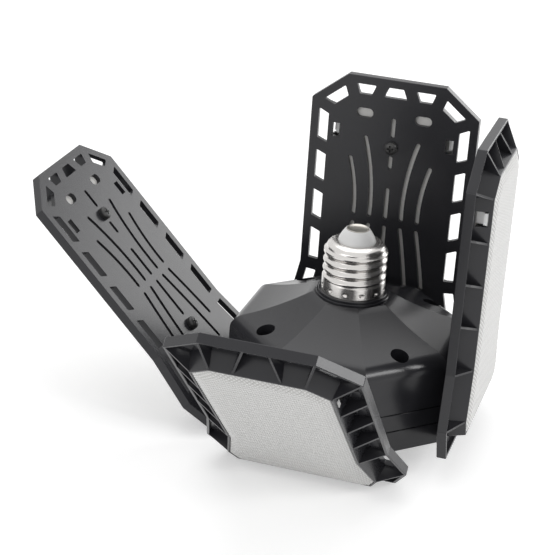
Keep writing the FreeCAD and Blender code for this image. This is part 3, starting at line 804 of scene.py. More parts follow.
def finish(name, colour, mottled, roughness, variation, mottle, grain, depth,
           stretch=(1.0, 1.0, 1.0), **sockets):
    """A material whose colour, roughness and relief come from the mottle and grain group.

    Sockets of the shader that stay the same all over go by their names, with underscores.
    """
    if name in bpy.data.materials:
        return bpy.data.materials[name]
    made = bpy.data.materials.new(name)
    made.use_nodes = True
    nodes, links = made.node_tree.nodes, made.node_tree.links
    shader = nodes["Principled BSDF"]
    group = nodes.new("ShaderNodeGroup")
    group.node_tree = moulded_group()
    values = {"Colour": (*colour, 1.0), "Mottled Colour": (*mottled, 1.0), "Mottle Scale": mottle,
              "Grain Scale": grain, "Roughness": roughness, "Roughness Spread": variation,
              "Stretch": stretch}
    for key, value in values.items():
        group.inputs[key].default_value = value
    relief = nodes.new("ShaderNodeBump")
    relief.inputs["Strength"].default_value = 1.0
    relief.inputs["Distance"].default_value = depth
    links.new(group.outputs["Height"], relief.inputs["Height"])
    links.new(relief.outputs[0], shader.inputs["Normal"])
    links.new(group.outputs["Colour"], shader.inputs["Base Color"])
    links.new(group.outputs["Roughness"], shader.inputs["Roughness"])
    for key, value in sockets.items():
        shader.inputs[key.replace("_", " ")].default_value = value
    return made


def tint(colour, share):
    """A colour made lighter or darker."""
    return tuple(c * share for c in colour)


def black_plastic():
    colour = tuple(bpy.context.scene.light_housing.plastic_colour)
    return finish("Black Moulded Plastic", colour, tint(colour, 1.3), roughness=0.24,
                  variation=0.05, mottle=90.0, grain=2600.0, depth=0.008 * MM,
                  Specular_IOR_Level=0.4)


def diffuser_plastic():
    """Milky plastic with painted shade: greyer in the valleys between the prisms, where the cover's
    own attribute marks them.
    """
    name, colour = "Milky Diffuser Plastic", tuple(bpy.context.scene.light_lens.colour)
    if name in bpy.data.materials:
        return bpy.data.materials[name]
    made = finish(name, colour, colour, roughness=0.2, variation=0.04, mottle=60.0, grain=500.0,
                  depth=0.004 * MM, Subsurface_Weight=0.15, Subsurface_Scale=0.001,
                  Subsurface_Radius=(1.0, 1.0, 1.0))
    nodes, links = made.node_tree.nodes, made.node_tree.links
    valley, mix = nodes.new("ShaderNodeAttribute"), nodes.new("ShaderNodeMix")
    valley.attribute_name = "valley"
    mix.data_type = "RGBA"
    # Mixes the painted shade colour into the valleys between the prisms.
    for tone, place_in_mix in zip((colour, bpy.context.scene.light_lens.valley_colour),
                                  MIX_COLOURS):
        mix.inputs[place_in_mix].default_value = (*tone, 1.0)
    links.new(valley.outputs["Fac"], mix.inputs["Factor"])
    for socket in ("Colour", "Mottled Colour"):
        links.new(mix.outputs[MIX_RESULT], nodes["Group"].inputs[socket])
    return made


def nickel():
    colour = tuple(bpy.context.scene.light_cap.metal_colour)
    return finish("Nickel Plating", colour, tint(colour, 0.92), roughness=0.24, variation=0.08,
                  mottle=220.0, grain=900.0, depth=0.006 * MM, stretch=(1.0, 1.0, 3.0),
                  Metallic=1.0)


def insulator_ceramic():
    colour = tuple(bpy.context.scene.light_cap.insulator_colour)
    return finish("Insulator", colour, tint(colour, 0.93), roughness=0.38, variation=0.1,
                  mottle=300.0, grain=1500.0, depth=0.01 * MM)


def contact_metal():
    return finish("Contact Metal", (0.62, 0.60, 0.56), (0.45, 0.43, 0.39), roughness=0.34,
                  variation=0.2, mottle=420.0, grain=1400.0, depth=0.02 * MM, Metallic=1.0)


def screw_metal():
    return finish("Blackened Screw Steel", (0.030, 0.030, 0.032), (0.055, 0.054, 0.052),
                  roughness=0.30, variation=0.16, mottle=500.0, grain=1800.0, depth=0.02 * MM,
                  Metallic=0.35)


def pin_steel():
    return finish("Hinge Pin Steel", (0.46, 0.46, 0.47), (0.34, 0.34, 0.35), roughness=0.30,
                  variation=0.15, mottle=400.0, grain=1500.0, depth=0.01 * MM, Metallic=1.0)


def board_aluminium():
    return finish("Board Aluminium", (0.80, 0.79, 0.77), (0.72, 0.71, 0.69), roughness=0.45,
                  variation=0.1, mottle=180.0, grain=1200.0, depth=0.01 * MM,
                  stretch=(1.0, 1.0, 6.0))


def led_phosphor():
    return finish("LED Phosphor", (0.80, 0.62, 0.12), (0.72, 0.54, 0.10), roughness=0.45,
                  variation=0.1, mottle=900.0, grain=2500.0, depth=0.005 * MM)


def green_board():
    return finish("Green Circuit Board", (0.02, 0.14, 0.05), (0.03, 0.20, 0.07), roughness=0.4,
                  variation=0.1, mottle=300.0, grain=1200.0, depth=0.01 * MM)


def winding_tape():
    return finish("Yellow Winding Tape", (0.75, 0.56, 0.06), (0.62, 0.44, 0.05), roughness=0.45,
                  variation=0.1, mottle=250.0, grain=1500.0, depth=0.02 * MM,
                  stretch=(1.0, 1.0, 5.0))


def component_black():
    return finish("Component Black", (0.02, 0.02, 0.022), (0.035, 0.035, 0.04), roughness=0.4,
                  variation=0.1, mottle=300.0, grain=1500.0, depth=0.01 * MM)


# ---------------------------------------------------------------- cap

def shell_profile(cap):
    """(radius, height) round the shell's wall: up outside, over the dome and down inside."""
    crest, wall = cap.crest_radius, cap.crest_radius - SHELL_WALL
    lip, lip_level = SHELL_LIP
    profile = [(crest - lip, lip_level), (crest - SHELL_EDGE, 0.0)]
    for i in range(SHELL_ROWS + 1):
        level = SHELL_EDGE + (SHELL_TOP - SHELL_EDGE) * i / SHELL_ROWS
        narrow = min(1.0, max(0.0, (level - cap.thread_end) / (SHELL_TOP - cap.thread_end)))
        profile.append((crest - cap.dome_inset * narrow ** DOME_BEND, level))
    reach, mouth = crest - cap.dome_inset - MOUTH_RADIUS, SHELL_TOP + DOME_RISE
    for i in range(1, DOME_STEPS + 1):
        angle = math.radians(90.0 / DOME_STEPS * i)
        profile.append((MOUTH_RADIUS + reach * math.cos(angle),
                        SHELL_TOP + DOME_RISE * math.sin(angle)))
    edge, high, low = MOUTH_EDGE
    return profile + [(edge, mouth - high), (edge, mouth - low), (wall, SHELL_TOP - SHELL_INSIDE),
                      (wall, SHELL_INSIDE)]


def turned(profile, count):
    """A turned mesh through (radius, height) points in millimetres."""
    return shaded(lathe([(r * MM, z * MM) for r, z in profile], count))


class GARAGELIGHT_OT_cap(bpy.types.Operator):
    """Builds the threaded shell, the insulator and the centre contact"""
    bl_idname = "garage_light.cap"
    bl_label = "Build Screw Cap"

    def execute(self, context):
        cap = context.scene.light_cap
        sizes = {"Crest_Radius": cap.crest_radius, "Pitch": cap.thread_pitch,
                 "Depth": cap.thread_depth, "Start": cap.thread_start, "End": cap.thread_end,
                 "Dimples": cap.dimple_count, "Dimple_Height": cap.dimple_height,
                 "Dimple_Radius": cap.dimple_radius, "Dimple_Depth": cap.dimple_depth}
        shell = grown(lathe(shell_profile(cap), SHELL_SIDES, closed=True), thread_tree(), nickel(),
                      **sizes)
        piece("screw_shell", shaded(shell), "housing", nickel(), ["cap_shell"])
        piece("insulating_cone", turned(CONE_PROFILE, CONE_SIDES), "housing",
              insulator_ceramic(), ["cap_insulator"])
        piece("dished_contact", turned(DISH_PROFILE, DISH_SIDES), "housing",
              contact_metal(), ["cap_contact"])
        return {"FINISHED"}


# ---------------------------------------------------------------- housing

def octagon_ring(apothem, level, corner_radius, steps=5):
    """Eight flats with rounded corners at one level."""
    points = []
    middle = (apothem - corner_radius) / math.cos(OCTAGON_CORNER)
    for i in range(OCTAGON_SIDES):
        start = 2 * OCTAGON_CORNER * i
        cx = middle * math.cos(start + OCTAGON_CORNER)
        cy = middle * math.sin(start + OCTAGON_CORNER)
        for k in range(steps + 1):
            angle = start + 2 * OCTAGON_CORNER * k / steps
            points.append((cx + corner_radius * math.cos(angle),
                           cy + corner_radius * math.sin(angle), level))
    return points


def octagon_solid(rings, corner_radius, closed=False):
    """A solid through (apothem, height) octagons with one corner radius."""
    return ring_solid([octagon_ring(a, z, corner_radius) for a, z in rings], closed)


def roof_profile(inset, steps=10):
    """(apothem, height) from the top of the wall over the shoulder to the roof's start."""
    half = (math.pi / 2 - ROOF_SLOPE) / 2
    radius = SHOULDER_RADIUS - inset
    wall_top = SHOULDER_CORNER - inset - radius * math.tan(half)
    profile = []
    for k in range(steps + 1):
        angle = 2 * half * k / steps
        profile.append((APOTHEM - inset - radius + radius * math.cos(angle),
                        wall_top + radius * math.sin(angle)))
    edge, start = profile[-1], (ROOF_START[0], ROOF_START[1] - inset)
    for k in range(1, steps + 1):
        t = k / steps
        sag = 4 * ROOF_SAG * t * (1 - t) + (ROOF_SAG * t if inset else 0.0)
        profile.append((edge[0] + (start[0] - edge[0]) * t,
                        edge[1] + (start[1] - edge[1]) * t - sag))
    return profile


def diagonal(mesh, angle=0.0):
    """Four copies of a mesh that stands on +X, on the diagonals or an angle away from them."""
    return [moved(mesh, Matrix.Rotation(math.radians(45 + 90 * i) + angle, 4, "Z"))
            for i in range(4)]


def standing(radius, low, high, x, count=ROUND_SIDES):
    """An upright cylinder on the X axis."""
    return prism([(x + px, py) for px, py in circle(radius, count)], low, high)


def upper_housing(settings):
    """Roof and upper wall with the neck, the screw posts and their wells."""
    edge, corner, crease = settings.edge_radius, settings.corner_radius, settings.crease_radius
    depth, height = GROOVE
    rings = [(APOTHEM - depth, UPPER_SEAM, corner), (APOTHEM - depth, UPPER_SEAM + height, corner),
             (APOTHEM - edge, UPPER_SEAM + height, corner),
             (APOTHEM, UPPER_SEAM + height + edge, corner)]
    for apothem, level in roof_profile(0.0):
        fade = max(0.0, 1 - (APOTHEM - apothem) / CORNER_FADE)
        rings.append((apothem, level, crease + (corner - crease) * fade))
    rings.append((ROOF_START[0] - ROOF_RUN_ON[0], ROOF_START[1] + ROOF_RUN_ON[1], crease))
    outer = ring_solid([octagon_ring(a, z, r) for a, z, r in rings])
    cavity = octagon_solid([(APOTHEM - WALL, UPPER_SEAM - CLEAR)] + roof_profile(WALL), crease)
    post = standing(POST_RADIUS, UPPER_SEAM - 2 * CLEAR, 0.0, SCREW_CIRCLE)
    cavity = combined(cavity, diagonal(post), "DIFFERENCE")
    solid = combined(outer, [cavity], "DIFFERENCE")
    low = ROOF_START[1] - WALL - ROOF_SAG
    (step, ledge), round_off = NECK_STEP, NECK_ROUNDING
    neck = [(PLUG_BORE, low), (NECK_RADIUS, low), (NECK_RADIUS, ledge - round_off),
            (NECK_RADIUS - round_off, ledge), (step, ledge), (step, -round_off),
            (step - round_off, 0.0), (PLUG_RADIUS, 0.0), (PLUG_RADIUS, PLUG_TOP),
            (PLUG_BORE, PLUG_TOP)]
    bore = lathe([(PLUG_BORE, low - WALL), (PLUG_BORE, PLUG_TOP + WALL)], PLUG_BORE_SIDES)
    solid = combined(solid, [lathe(neck, NECK_SIDES, closed=True)], "UNION")
    solid = combined(solid, [bore], "DIFFERENCE")
    wells = diagonal(standing(WELL_RADIUS, SCREW_SEAT, WELL_TOP, SCREW_CIRCLE))
    holes = diagonal(standing(SCREW_HOLE, UPPER_SEAM - WALL, SCREW_SEAT + WALL, SCREW_CIRCLE,
                              HOLE_SIDES))
    return combined(solid, wells + holes, "DIFFERENCE")


def middle_housing(settings):
    """Plain ring between the two seams, with a groove along its lower edge."""
    edge, (depth, height) = settings.edge_radius, GROOVE
    outer = [(APOTHEM - depth, LOWER_SEAM), (APOTHEM - depth, LOWER_SEAM + height),
             (APOTHEM - edge, LOWER_SEAM + height), (APOTHEM, LOWER_SEAM + height + edge),
             (APOTHEM, UPPER_SEAM - edge), (APOTHEM - edge, UPPER_SEAM)]
    inner = [(APOTHEM - WALL, UPPER_SEAM), (APOTHEM - WALL, LOWER_SEAM)]
    return octagon_solid(outer + inner, settings.corner_radius, closed=True)


def base_cover(settings):
    """Bottom tray with the hinge knuckles, their slots and the middle light's opening."""
    edge, corner = 2 * settings.edge_radius, settings.corner_radius
    rings = [(APOTHEM - edge, BOTTOM), (APOTHEM, BOTTOM + edge),
             (APOTHEM, LOWER_SEAM - settings.edge_radius),
             (APOTHEM - settings.edge_radius, LOWER_SEAM)]
    solid = octagon_solid(rings, corner)
    inside = BOTTOM + BASE_THICKNESS
    room = octagon_solid([(APOTHEM - WALL, z) for z in (inside, LOWER_SEAM + WALL)], corner)
    half = EAR_INNER - EAR_SIDE_ROOM
    knuckle = block((HINGE_RADIUS - EAR_ROOM, APOTHEM - WALL / 2), (-half, half),
                    (inside - WALL, HINGE_HEIGHT + KNUCKLE_RADIUS))
    post = standing(POST_RADIUS, inside - WALL, LOWER_SEAM + 2 * WALL, SCREW_CIRCLE)
    room = combined(room, diagonal(knuckle, math.radians(-45)) + diagonal(post), "DIFFERENCE")
    slots = []
    for side in (-1, 1):
        ends = sorted((side * half, side * (EAR_OUTER + EAR_SIDE_ROOM)))
        slots.append(block((HINGE_RADIUS - EAR_ROOM, APOTHEM + WALL), ends,
                           (BOTTOM - WALL, HINGE_HEIGHT + EAR_ROOM)))
    opening = octagon_solid([(OPENING_APOTHEM, z) for z in (BOTTOM - WALL, inside + WALL)], corner)
    cuts = [room, opening] + [m for slot in slots for m in diagonal(slot, math.radians(-45))]
    return combined(solid, cuts, "DIFFERENCE")


class GARAGELIGHT_OT_housing(bpy.types.Operator):
    """Builds the roof with its neck and wells, the middle ring and the base"""
    bl_idname = "garage_light.housing"
    bl_label = "Build Housing"

    def execute(self, context):
        settings = context.scene.light_housing
        for name, mesh, node in (("roof_moulding", upper_housing(settings), "upper_housing"),
                                 ("ring_moulding", middle_housing(settings), "middle_housing"),
                                 ("base_moulding", base_cover(settings), "base_cover")):
            piece(name, shaded(mesh), "housing", black_plastic(), [node])
        return {"FINISHED"}


# ---------------------------------------------------------------- panels

def outline(inset):
    """The panel's ten corners, every side moved in by inset, the base side a little less."""
    points = [(u, -v) for u, v in HALF_OUTLINE] + [(u, v) for u, v in reversed(HALF_OUTLINE)]
    moved_points = []
    for i, here in enumerate(points):
        lines = []
        for start, end, share in (
                (points[i - 1], here, BASE_INSET_SHARE if i == 0 else 1.0),
                (here, points[(i + 1) % len(points)], BASE_INSET_SHARE if i == 9 else 1.0)):
            run = math.hypot(end[0] - start[0], end[1] - start[1])
            normal = ((start[1] - end[1]) / run, (end[0] - start[0]) / run)
            lines.append((normal, normal[0] * here[0] + normal[1] * here[1] + inset * share))
        (n1, c1), (n2, c2) = lines
        det = n1[0] * n2[1] - n1[1] * n2[0]
        moved_points.append(((c1 * n2[1] - c2 * n1[1]) / det, (n1[0] * c2 - n2[0] * c1) / det))
    return moved_points


def rounded(points, radius, steps=4):
    """A closed plan with each corner turned into a small arc."""
    result = []
    for i, here in enumerate(points):
        here, after = Vector(here), Vector(points[(i + 1) % len(points)])
        to_before, to_after = Vector(points[i - 1]) - here, after - here
        half = to_before.angle(to_after) / 2
        cut = min(radius / math.tan(half), ROUNDING_LIMIT * min(to_before.length, to_after.length))
        start, end = here + to_before.normalized() * cut, here + to_after.normalized() * cut
        for k in range(steps + 1):
            t = k / steps
            result.append(tuple(start * (1 - t) ** 2 + here * 2 * t * (1 - t) + end * t * t))
    return result


def outline_ring(inset, level, radius):
    """The rounded outline, moved in, at one level."""
    return [(u, v, level) for u, v in rounded(outline(inset), radius)]


def box_inset(level):
    """How far in the outer face of the lens box stands at a level."""
    return BOX_FOOT_INSET + (BOX_TOP_INSET - BOX_FOOT_INSET) * level / BOX_HEIGHT


def gutter():
    """The ribs in order round the panel: start on the edge and drift per inset."""
    outer, inner = outline(0.0), outline(BOX_TOP_INSET)
    corner = [(outer[i], ((inner[i][0] - outer[i][0]) / BOX_TOP_INSET,
                          (inner[i][1] - outer[i][1]) / BOX_TOP_INSET)) for i in range(10)]
    right = [((u, -PANEL_HALF_WIDTH), (-RIB_SLANT, 1.0)) for u in SIDE_RIBS]
    left = [((u, PANEL_HALF_WIDTH), (-RIB_SLANT, -1.0)) for u in reversed(SIDE_RIBS)]
    tip = [((PANEL_REACH, s * TIP_RIB), (-1.0, s * RIB_SLANT)) for s in (-1, 1)]
    return corner[1:3] + right + corner[3:5] + tip + corner[5:7] + left + corner[7:9]


def rib_meshes(ribs, settings):
    """The gutter's ribs, grown from a point each."""
    mesh = bpy.data.meshes.new("rib places")
    mesh.from_pydata([(*start, 0.0) for start, step in ribs], [], [])
    for name, values in (("turn", [math.atan2(step[1], step[0]) for start, step in ribs]),
                         ("stretch", [math.hypot(*step) for start, step in ribs])):
        mesh.attributes.new(name, "FLOAT", "POINT").data.foreach_set("value", values)
    foot = BACK_THICKNESS / 2
    return grown(mesh, rib_tree(), black_plastic(), Thickness=settings.rib_thickness, Foot=foot,
                 Rim_Height=RIM_HEIGHT - RIB_DROPS[0], Box_Height=BOX_HEIGHT - RIB_DROPS[1],
                 Rim_Reach=RIM_WALL / 2, Foot_Reach=box_inset(foot) + BOX_WALL / 2,
                 Box_Reach=box_inset(BOX_HEIGHT) + BOX_WALL / 2)


def gutter_windows(ribs):
    """Openings through the back between each two ribs, their ends following the ribs."""
    outer, inner = WINDOW_INSETS
    shapes = []
    for (a, step_a), (b, step_b) in zip(ribs[:-1], ribs[1:]):
        run = Vector(b) - Vector(a)
        side = run.normalized() * WINDOW_MARGIN
        corners = []
        for start, step, inset, way in ((a, step_a, outer, 1), (b, step_b, outer, -1),
                                        (b, step_b, inner, -1), (a, step_a, inner, 1)):
            corners.append(tuple(Vector(start) + Vector(step) * inset + side * way))
        shapes.append(prism(rounded(corners, WINDOW_ROUNDING), -CLEAR, BACK_THICKNESS + CLEAR / 2))
    return shapes


def smooth_path(points, steps=8):
    """A parabola through three places, or the two ends of a straight slot."""
    if len(points) == 2:
        return [Vector(p) for p in points]
    start, middle, end = (Vector(p) for p in points)
    pull = middle * 2 - (start + end) / 2
    return [start * (1 - t) ** 2 + pull * 2 * t * (1 - t) + end * t * t
            for t in (k / steps for k in range(steps + 1))]


def slot_plan(points, width, steps=8):
    """The outline of a slot with round ends along a path."""
    path = smooth_path(points)
    plan = []
    for line in (path, path[::-1]):
        for i, here in enumerate(line):
            ahead = (line[min(i + 1, len(line) - 1)] - line[max(i - 1, 0)]).normalized()
            right = Vector((ahead.y, -ahead.x))
            if 0 < i < len(line) - 1:
                plan.append(tuple(here + right * width / 2))
        turn = [math.pi * k / steps for k in range(steps + 1)]
        plan += [tuple(here + (right * math.cos(a) + ahead * math.sin(a)) * width / 2)
                 for a in turn]
    return plan


def back_slots(settings):
    """The fan of cooling slots, the short slots in the middle and the two vents."""
    low, high = SLOT_GAP_ENDS
    paths = [[(a, 0.0), (b, 0.0)] for a, b in MIDDLE_SLOTS]
    for start, way, fan in ((high, 1, TIP_FAN), (low, -1, BASE_FAN)):
        for row, (reach, half_drift, end_drift) in enumerate(fan, 1):
            for side in (-1, 1):
                v = row * SLOT_PITCH
                paths.append([(start, side * v), (start + way * reach / 2, side * (v + half_drift)),
                              (start + way * reach, side * (v + end_drift))])
    reach = (VENT_LENGTH - settings.vent_width) / 2
    vents = [[(VENT_PLACE, v - reach), (VENT_PLACE, v + reach)]
             for v in (-VENT_OFFSET, VENT_OFFSET)]
    plans = [slot_plan(path, settings.slot_width) for path in paths]
    plans += [slot_plan(path, settings.vent_width, VENT_END_STEPS) for path in vents]
    return [prism(plan, -CLEAR, BACK_THICKNESS + CLEAR) for plan in plans]


def mirrored_blocks(u_range, v_range, h_range):
    """A box on one side of a panel and its mirror image on the other."""
    return [block(u_range, v_range, h_range), block(u_range, (-v_range[1], -v_range[0]), h_range)]


def hinge_ears():
    """Two ears that stand from the back to the hinge axis, bored for the pin."""
    overhang = -HALF_OUTLINE[0][0]
    first = math.acos(overhang / EAR_RADIUS) - math.pi
    sweep = 2 * math.pi + first
    eye = [first - sweep * i / EAR_STEPS for i in range(EAR_STEPS + 1)]
    plan = [(-overhang, CLEAR)]
    plan += [(EAR_RADIUS * math.cos(a), -HINGE_RISE - EAR_RADIUS * math.sin(a)) for a in eye]
    plan += [(EAR_RADIUS, -EAR_FOOT), (EAR_RADIUS + EAR_FOOT, 0.0), (EAR_RADIUS + EAR_FOOT, CLEAR)]

    def along(x, y, z):
        return x, z, y

    bore = [(x, y - HINGE_RISE) for x, y in circle(EAR_BORE, EAR_BORE_SIDES)]
    ears = []
    for low, high in ((EAR_INNER, EAR_OUTER), (-EAR_OUTER, -EAR_INNER)):
        hole = prism(bore, low - CLEAR, high + CLEAR, along)
        ears.append(combined(prism(plan, low, high, along), [hole], "DIFFERENCE"))
    return ears


def panel_frame(settings):
    """One panel's moulding, flat: tray, lens box, gutter ribs, ears and every opening."""
    edge, corner = settings.edge_radius, settings.corner_radius
    tray = [(edge, 0.0), (0.0, edge), (0.0, RIM_HEIGHT - edge), (edge, RIM_HEIGHT),
            (RIM_WALL - edge, RIM_HEIGHT), (RIM_WALL, RIM_HEIGHT - edge),
            (RIM_WALL, BACK_THICKNESS)]
    solid = ring_solid([outline_ring(inset, level, corner) for inset, level in tray])
    foot, top = BACK_THICKNESS / 2, BOX_HEIGHT
    box = [(box_inset(foot), foot), (box_inset(top - edge), top - edge),
           (box_inset(top) + edge, top), (box_inset(top) + BOX_WALL - edge, top),
           (box_inset(top - edge) + BOX_WALL, top - edge), (box_inset(foot) + BOX_WALL, foot)]
    walls = ring_solid([outline_ring(inset, level, corner) for inset, level in box], closed=True)
    ribs = gutter()
    solid = combined(solid, [walls, rib_meshes(ribs, settings)], "UNION")
    solid = combined(solid, hinge_ears(), "UNION")
    catch = (CATCH_PLACE - CATCH_LENGTH / 2, CATCH_PLACE + CATCH_LENGTH / 2)
    wall_in = PANEL_HALF_WIDTH - box_inset(BOX_HEIGHT) - CATCH_DEPTH
    wall_out = PANEL_HALF_WIDTH - BOX_FOOT_INSET + CLEAR
    cuts = gutter_windows(ribs) + back_slots(settings)
    cuts += mirrored_blocks(catch, (wall_in, wall_out), CATCH_WINDOW)
    cuts += mirrored_blocks(catch, CATCH_HOLE, (-CLEAR, BACK_THICKNESS + CLEAR / 2))
    cuts += [standing(SCREW_HOLE, -CLEAR, BACK_THICKNESS + CLEAR, u, HOLE_SIDES)
             for u in BOARD_SCREWS]
    return combined(solid, [together(cuts)], "DIFFERENCE")


class GARAGELIGHT_OT_panels(bpy.types.Operator):
    """Builds the four panels' slotted and ribbed mouldings"""
    bl_idname = "garage_light.panels"
    bl_label = "Build Panels"

    def execute(self, context):
        flat = shaded(panel_frame(context.scene.light_panels))
        for side in SIDES:
            piece("panel_moulding_" + side, moved(flat, side_matrix(side)), "panel_" + side,
                  black_plastic(), ["panel_frame_" + side])
        return {"FINISHED"}


# ---------------------------------------------------------------- diffusers

def away(point, corners, skip=()):
    """How far inside a convex plan a point lies from its nearest side, some sides skipped."""
    nearest = math.inf
    for i, end in enumerate(corners):
        start = corners[i - 1]
        run = math.hypot(end[0] - start[0], end[1] - start[1])
        if i not in skip:
            gap = ((point[1] - start[1]) * (end[0] - start[0])
                   - (point[0] - start[0]) * (end[1] - start[1])) / run
            nearest = min(nearest, gap)
    return nearest


def diamond_sheet(corners, diagonal_length):
    """A flat sheet of diamond-shaped faces, clipped to a convex plan."""
    low = Vector((min(c[0] for c in corners), min(c[1] for c in corners)))
    high = Vector((max(c[0] for c in corners), max(c[1] for c in corners)))
    middle, reach = (low + high) / 2, (high - low).length / 2
    cell = diagonal_length / math.sqrt(2)
    count = 2 * math.ceil(reach / cell)
    bm = bmesh.new()
    bmesh.ops.create_grid(bm, x_segments=count, y_segments=count, size=count * cell / 2)
    snapped = Vector((round(middle.x / diagonal_length),
                      round(middle.y / diagonal_length))) * diagonal_length
    bm.transform(Matrix.Translation((*snapped, 0)) @ Matrix.Rotation(math.pi / 4, 4, "Z"))
    for i, end in enumerate(corners):
        start = corners[i - 1]
        normal = Vector((end[1] - start[1], start[0] - end[0], 0)).normalized()
        bmesh.ops.bisect_plane(bm, geom=bm.verts[:] + bm.edges[:] + bm.faces[:], dist=TINY,
                               plane_co=(*end, 0), plane_no=normal, clear_outer=True)
    return mesh_of(bm)


def diffuser(parts, edge, top, run, foot, settings, seam=None):
    """A milky cover: a crowned sheet of small prisms over a skirt, closed below.

    Parts are convex plans. Two may meet in a seam at one u, where cut diamonds are made whole.
    """
    sheet = together([diamond_sheet(corners, settings.prism_diagonal)
                      for corners, skip, test in parts])
    bm = bmesh.new()
    bm.from_mesh(sheet)
    bmesh.ops.remove_doubles(bm, verts=bm.verts, dist=MERGE)
    if seam is not None:
        across = [e for e in bm.edges if not e.is_boundary
                  and all(abs(v.co.x - seam) < MERGE for v in e.verts)]
        bmesh.ops.dissolve_edges(bm, edges=across, use_verts=True)
    for vert in bm.verts:
        corners, skip = next((c, s) for c, s, test in parts if test(vert.co.x))
        vert.co.z = edge + (top - edge) * min(1.0, max(0.0, away(vert.co, corners, skip) / run))
    bm.normal_update()
    if sum(face.normal.z for face in bm.faces) < 0:
        bmesh.ops.reverse_faces(bm, faces=bm.faces[:])
    crowned = grown(mesh_of(bm), prism_tree(), diffuser_plastic(), Height=settings.prism_height,
                    Tip_Share=PRISM_TIP_SHARE)
    bm = bmesh.new()
    bm.from_mesh(crowned)
    border = [e for e in bm.edges if e.is_boundary]
    skirt = bmesh.ops.extrude_edge_only(bm, edges=border)["geom"]
    # The skirt gets none of the painted shade that greys the valleys between the prisms.
    valley = bm.verts.layers.float["valley"]
    for vert in (g for g in skirt if isinstance(g, bmesh.types.BMVert)):
        vert.co.z = foot
        vert[valley] = 0.0
    bmesh.ops.triangle_fill(bm, edges=[g for g in skirt if isinstance(g, bmesh.types.BMEdge)],
                            use_beauty=True)
    bmesh.ops.recalc_face_normals(bm, faces=bm.faces)
    return mesh_of(bm)


def panel_diffuser(settings):
    """One panel's cover with its two catch hooks, flat."""
    corners = outline(LENS_INSET)
    base_part = [corners[i] for i in (0, 1, 2, 7, 8, 9)]
    tip_part = corners[2:8]
    seam = corners[2][0]
    parts = [(base_part, (3,), lambda u: u < seam - SEAM_TOLERANCE),
             (tip_part, (0,), lambda u: True)]
    top = BOX_HEIGHT + LENS_CROWN - settings.prism_height - LENS_TIP_GAP
    cover = diffuser(parts, BOX_HEIGHT - settings.prism_height, top, LENS_CROWN_RUN,
                     BOX_HEIGHT - LENS_EDGE, settings, seam)
    half = CATCH_LENGTH / 2 - HOOK_PLAY
    ends = (CATCH_PLACE - half, CATCH_PLACE + half)
    outer = PANEL_HALF_WIDTH - box_inset(CATCH_WINDOW[1]) - BOX_WALL - FIT_GAP
    low, high = CATCH_WINDOW
    hooks = mirrored_blocks(ends, (outer - HOOK_THICKNESS, outer),
                            (low + FIT_GAP, BOX_HEIGHT - HOOK_TOP))
    hooks += mirrored_blocks(ends, (outer - HOOK_THICKNESS / 2, outer + BOX_WALL + HOOK_REACH),
                             (high - HOOK_NOSE[0], high - HOOK_NOSE[1]))
    return together([cover] + hooks)


class GARAGELIGHT_OT_diffusers(bpy.types.Operator):
    """Builds the prismatic covers of the panels and of the middle light"""
    bl_idname = "garage_light.diffusers"
    bl_label = "Build Diffusers"

    def execute(self, context):
        settings = context.scene.light_lens
        flat = panel_diffuser(settings)
        for side in SIDES:
            piece("diffuser_" + side, moved(flat, side_matrix(side)), "panel_" + side,
                  diffuser_plastic(), ["panel_lens_" + side])
        corner = CENTRE_LENS_APOTHEM / math.cos(OCTAGON_CORNER)
        plan = circle(corner, OCTAGON_SIDES, OCTAGON_CORNER)
        top = CENTRE_LENS_DEPTH - settings.prism_height - LENS_TIP_GAP
        middle = diffuser([(plan, (), lambda u: True)], CENTRE_LENS_DEPTH - LENS_CROWN, top,
                          CENTRE_CROWN_RUN, 0.0, settings)
        piece("diffuser_centre", moved(middle, centre_matrix()), "housing",
              diffuser_plastic(), ["centre_lens"])
        return {"FINISHED"}


# ---------------------------------------------------------------- screws

def pan_head_screw(settings, shank_length):
    """A domed head with a cross recess, seated at level 0, over a plain shank."""
    radius, shank, head_height = settings.head_radius, settings.shank_radius, settings.head_height
    (tip, tip_rise), (edge, edge_rise) = SHANK_TIP, HEAD_EDGE
    rim = HEAD_RIM_SHARE * head_height
    dome = [(radius * math.cos(a) ** HEAD_FULLNESS, rim + (head_height - rim) * math.sin(a))
            for a in (math.radians(90.0 / HEAD_STEPS * i) for i in range(HEAD_STEPS))]
    profile = [(0.0, -shank_length), (shank - tip, -shank_length),
               (shank, tip_rise - shank_length), (shank, 0.0), (radius - edge, 0.0),
               (radius, edge_rise), *dome, (0.0, head_height)]
    screw = lathe(profile, SCREW_SIDES)
    arms = []
    for length, width in ((settings.recess_length, settings.recess_width),
                          (settings.recess_width, settings.recess_length)):
        rings = []
        for level, share in zip((head_height - settings.recess_depth, head_height + RECESS_RISE),
                                RECESS_TAPER):
            x = length / 2 * (share if length > width else 1.0)
            y = width / 2 * (share if width > length else 1.0)
            rings.append([(-x, -y, level), (x, -y, level), (x, y, level), (-x, y, level)])
        arms.append(ring_solid(rings))
    return combined(screw, arms, "DIFFERENCE")


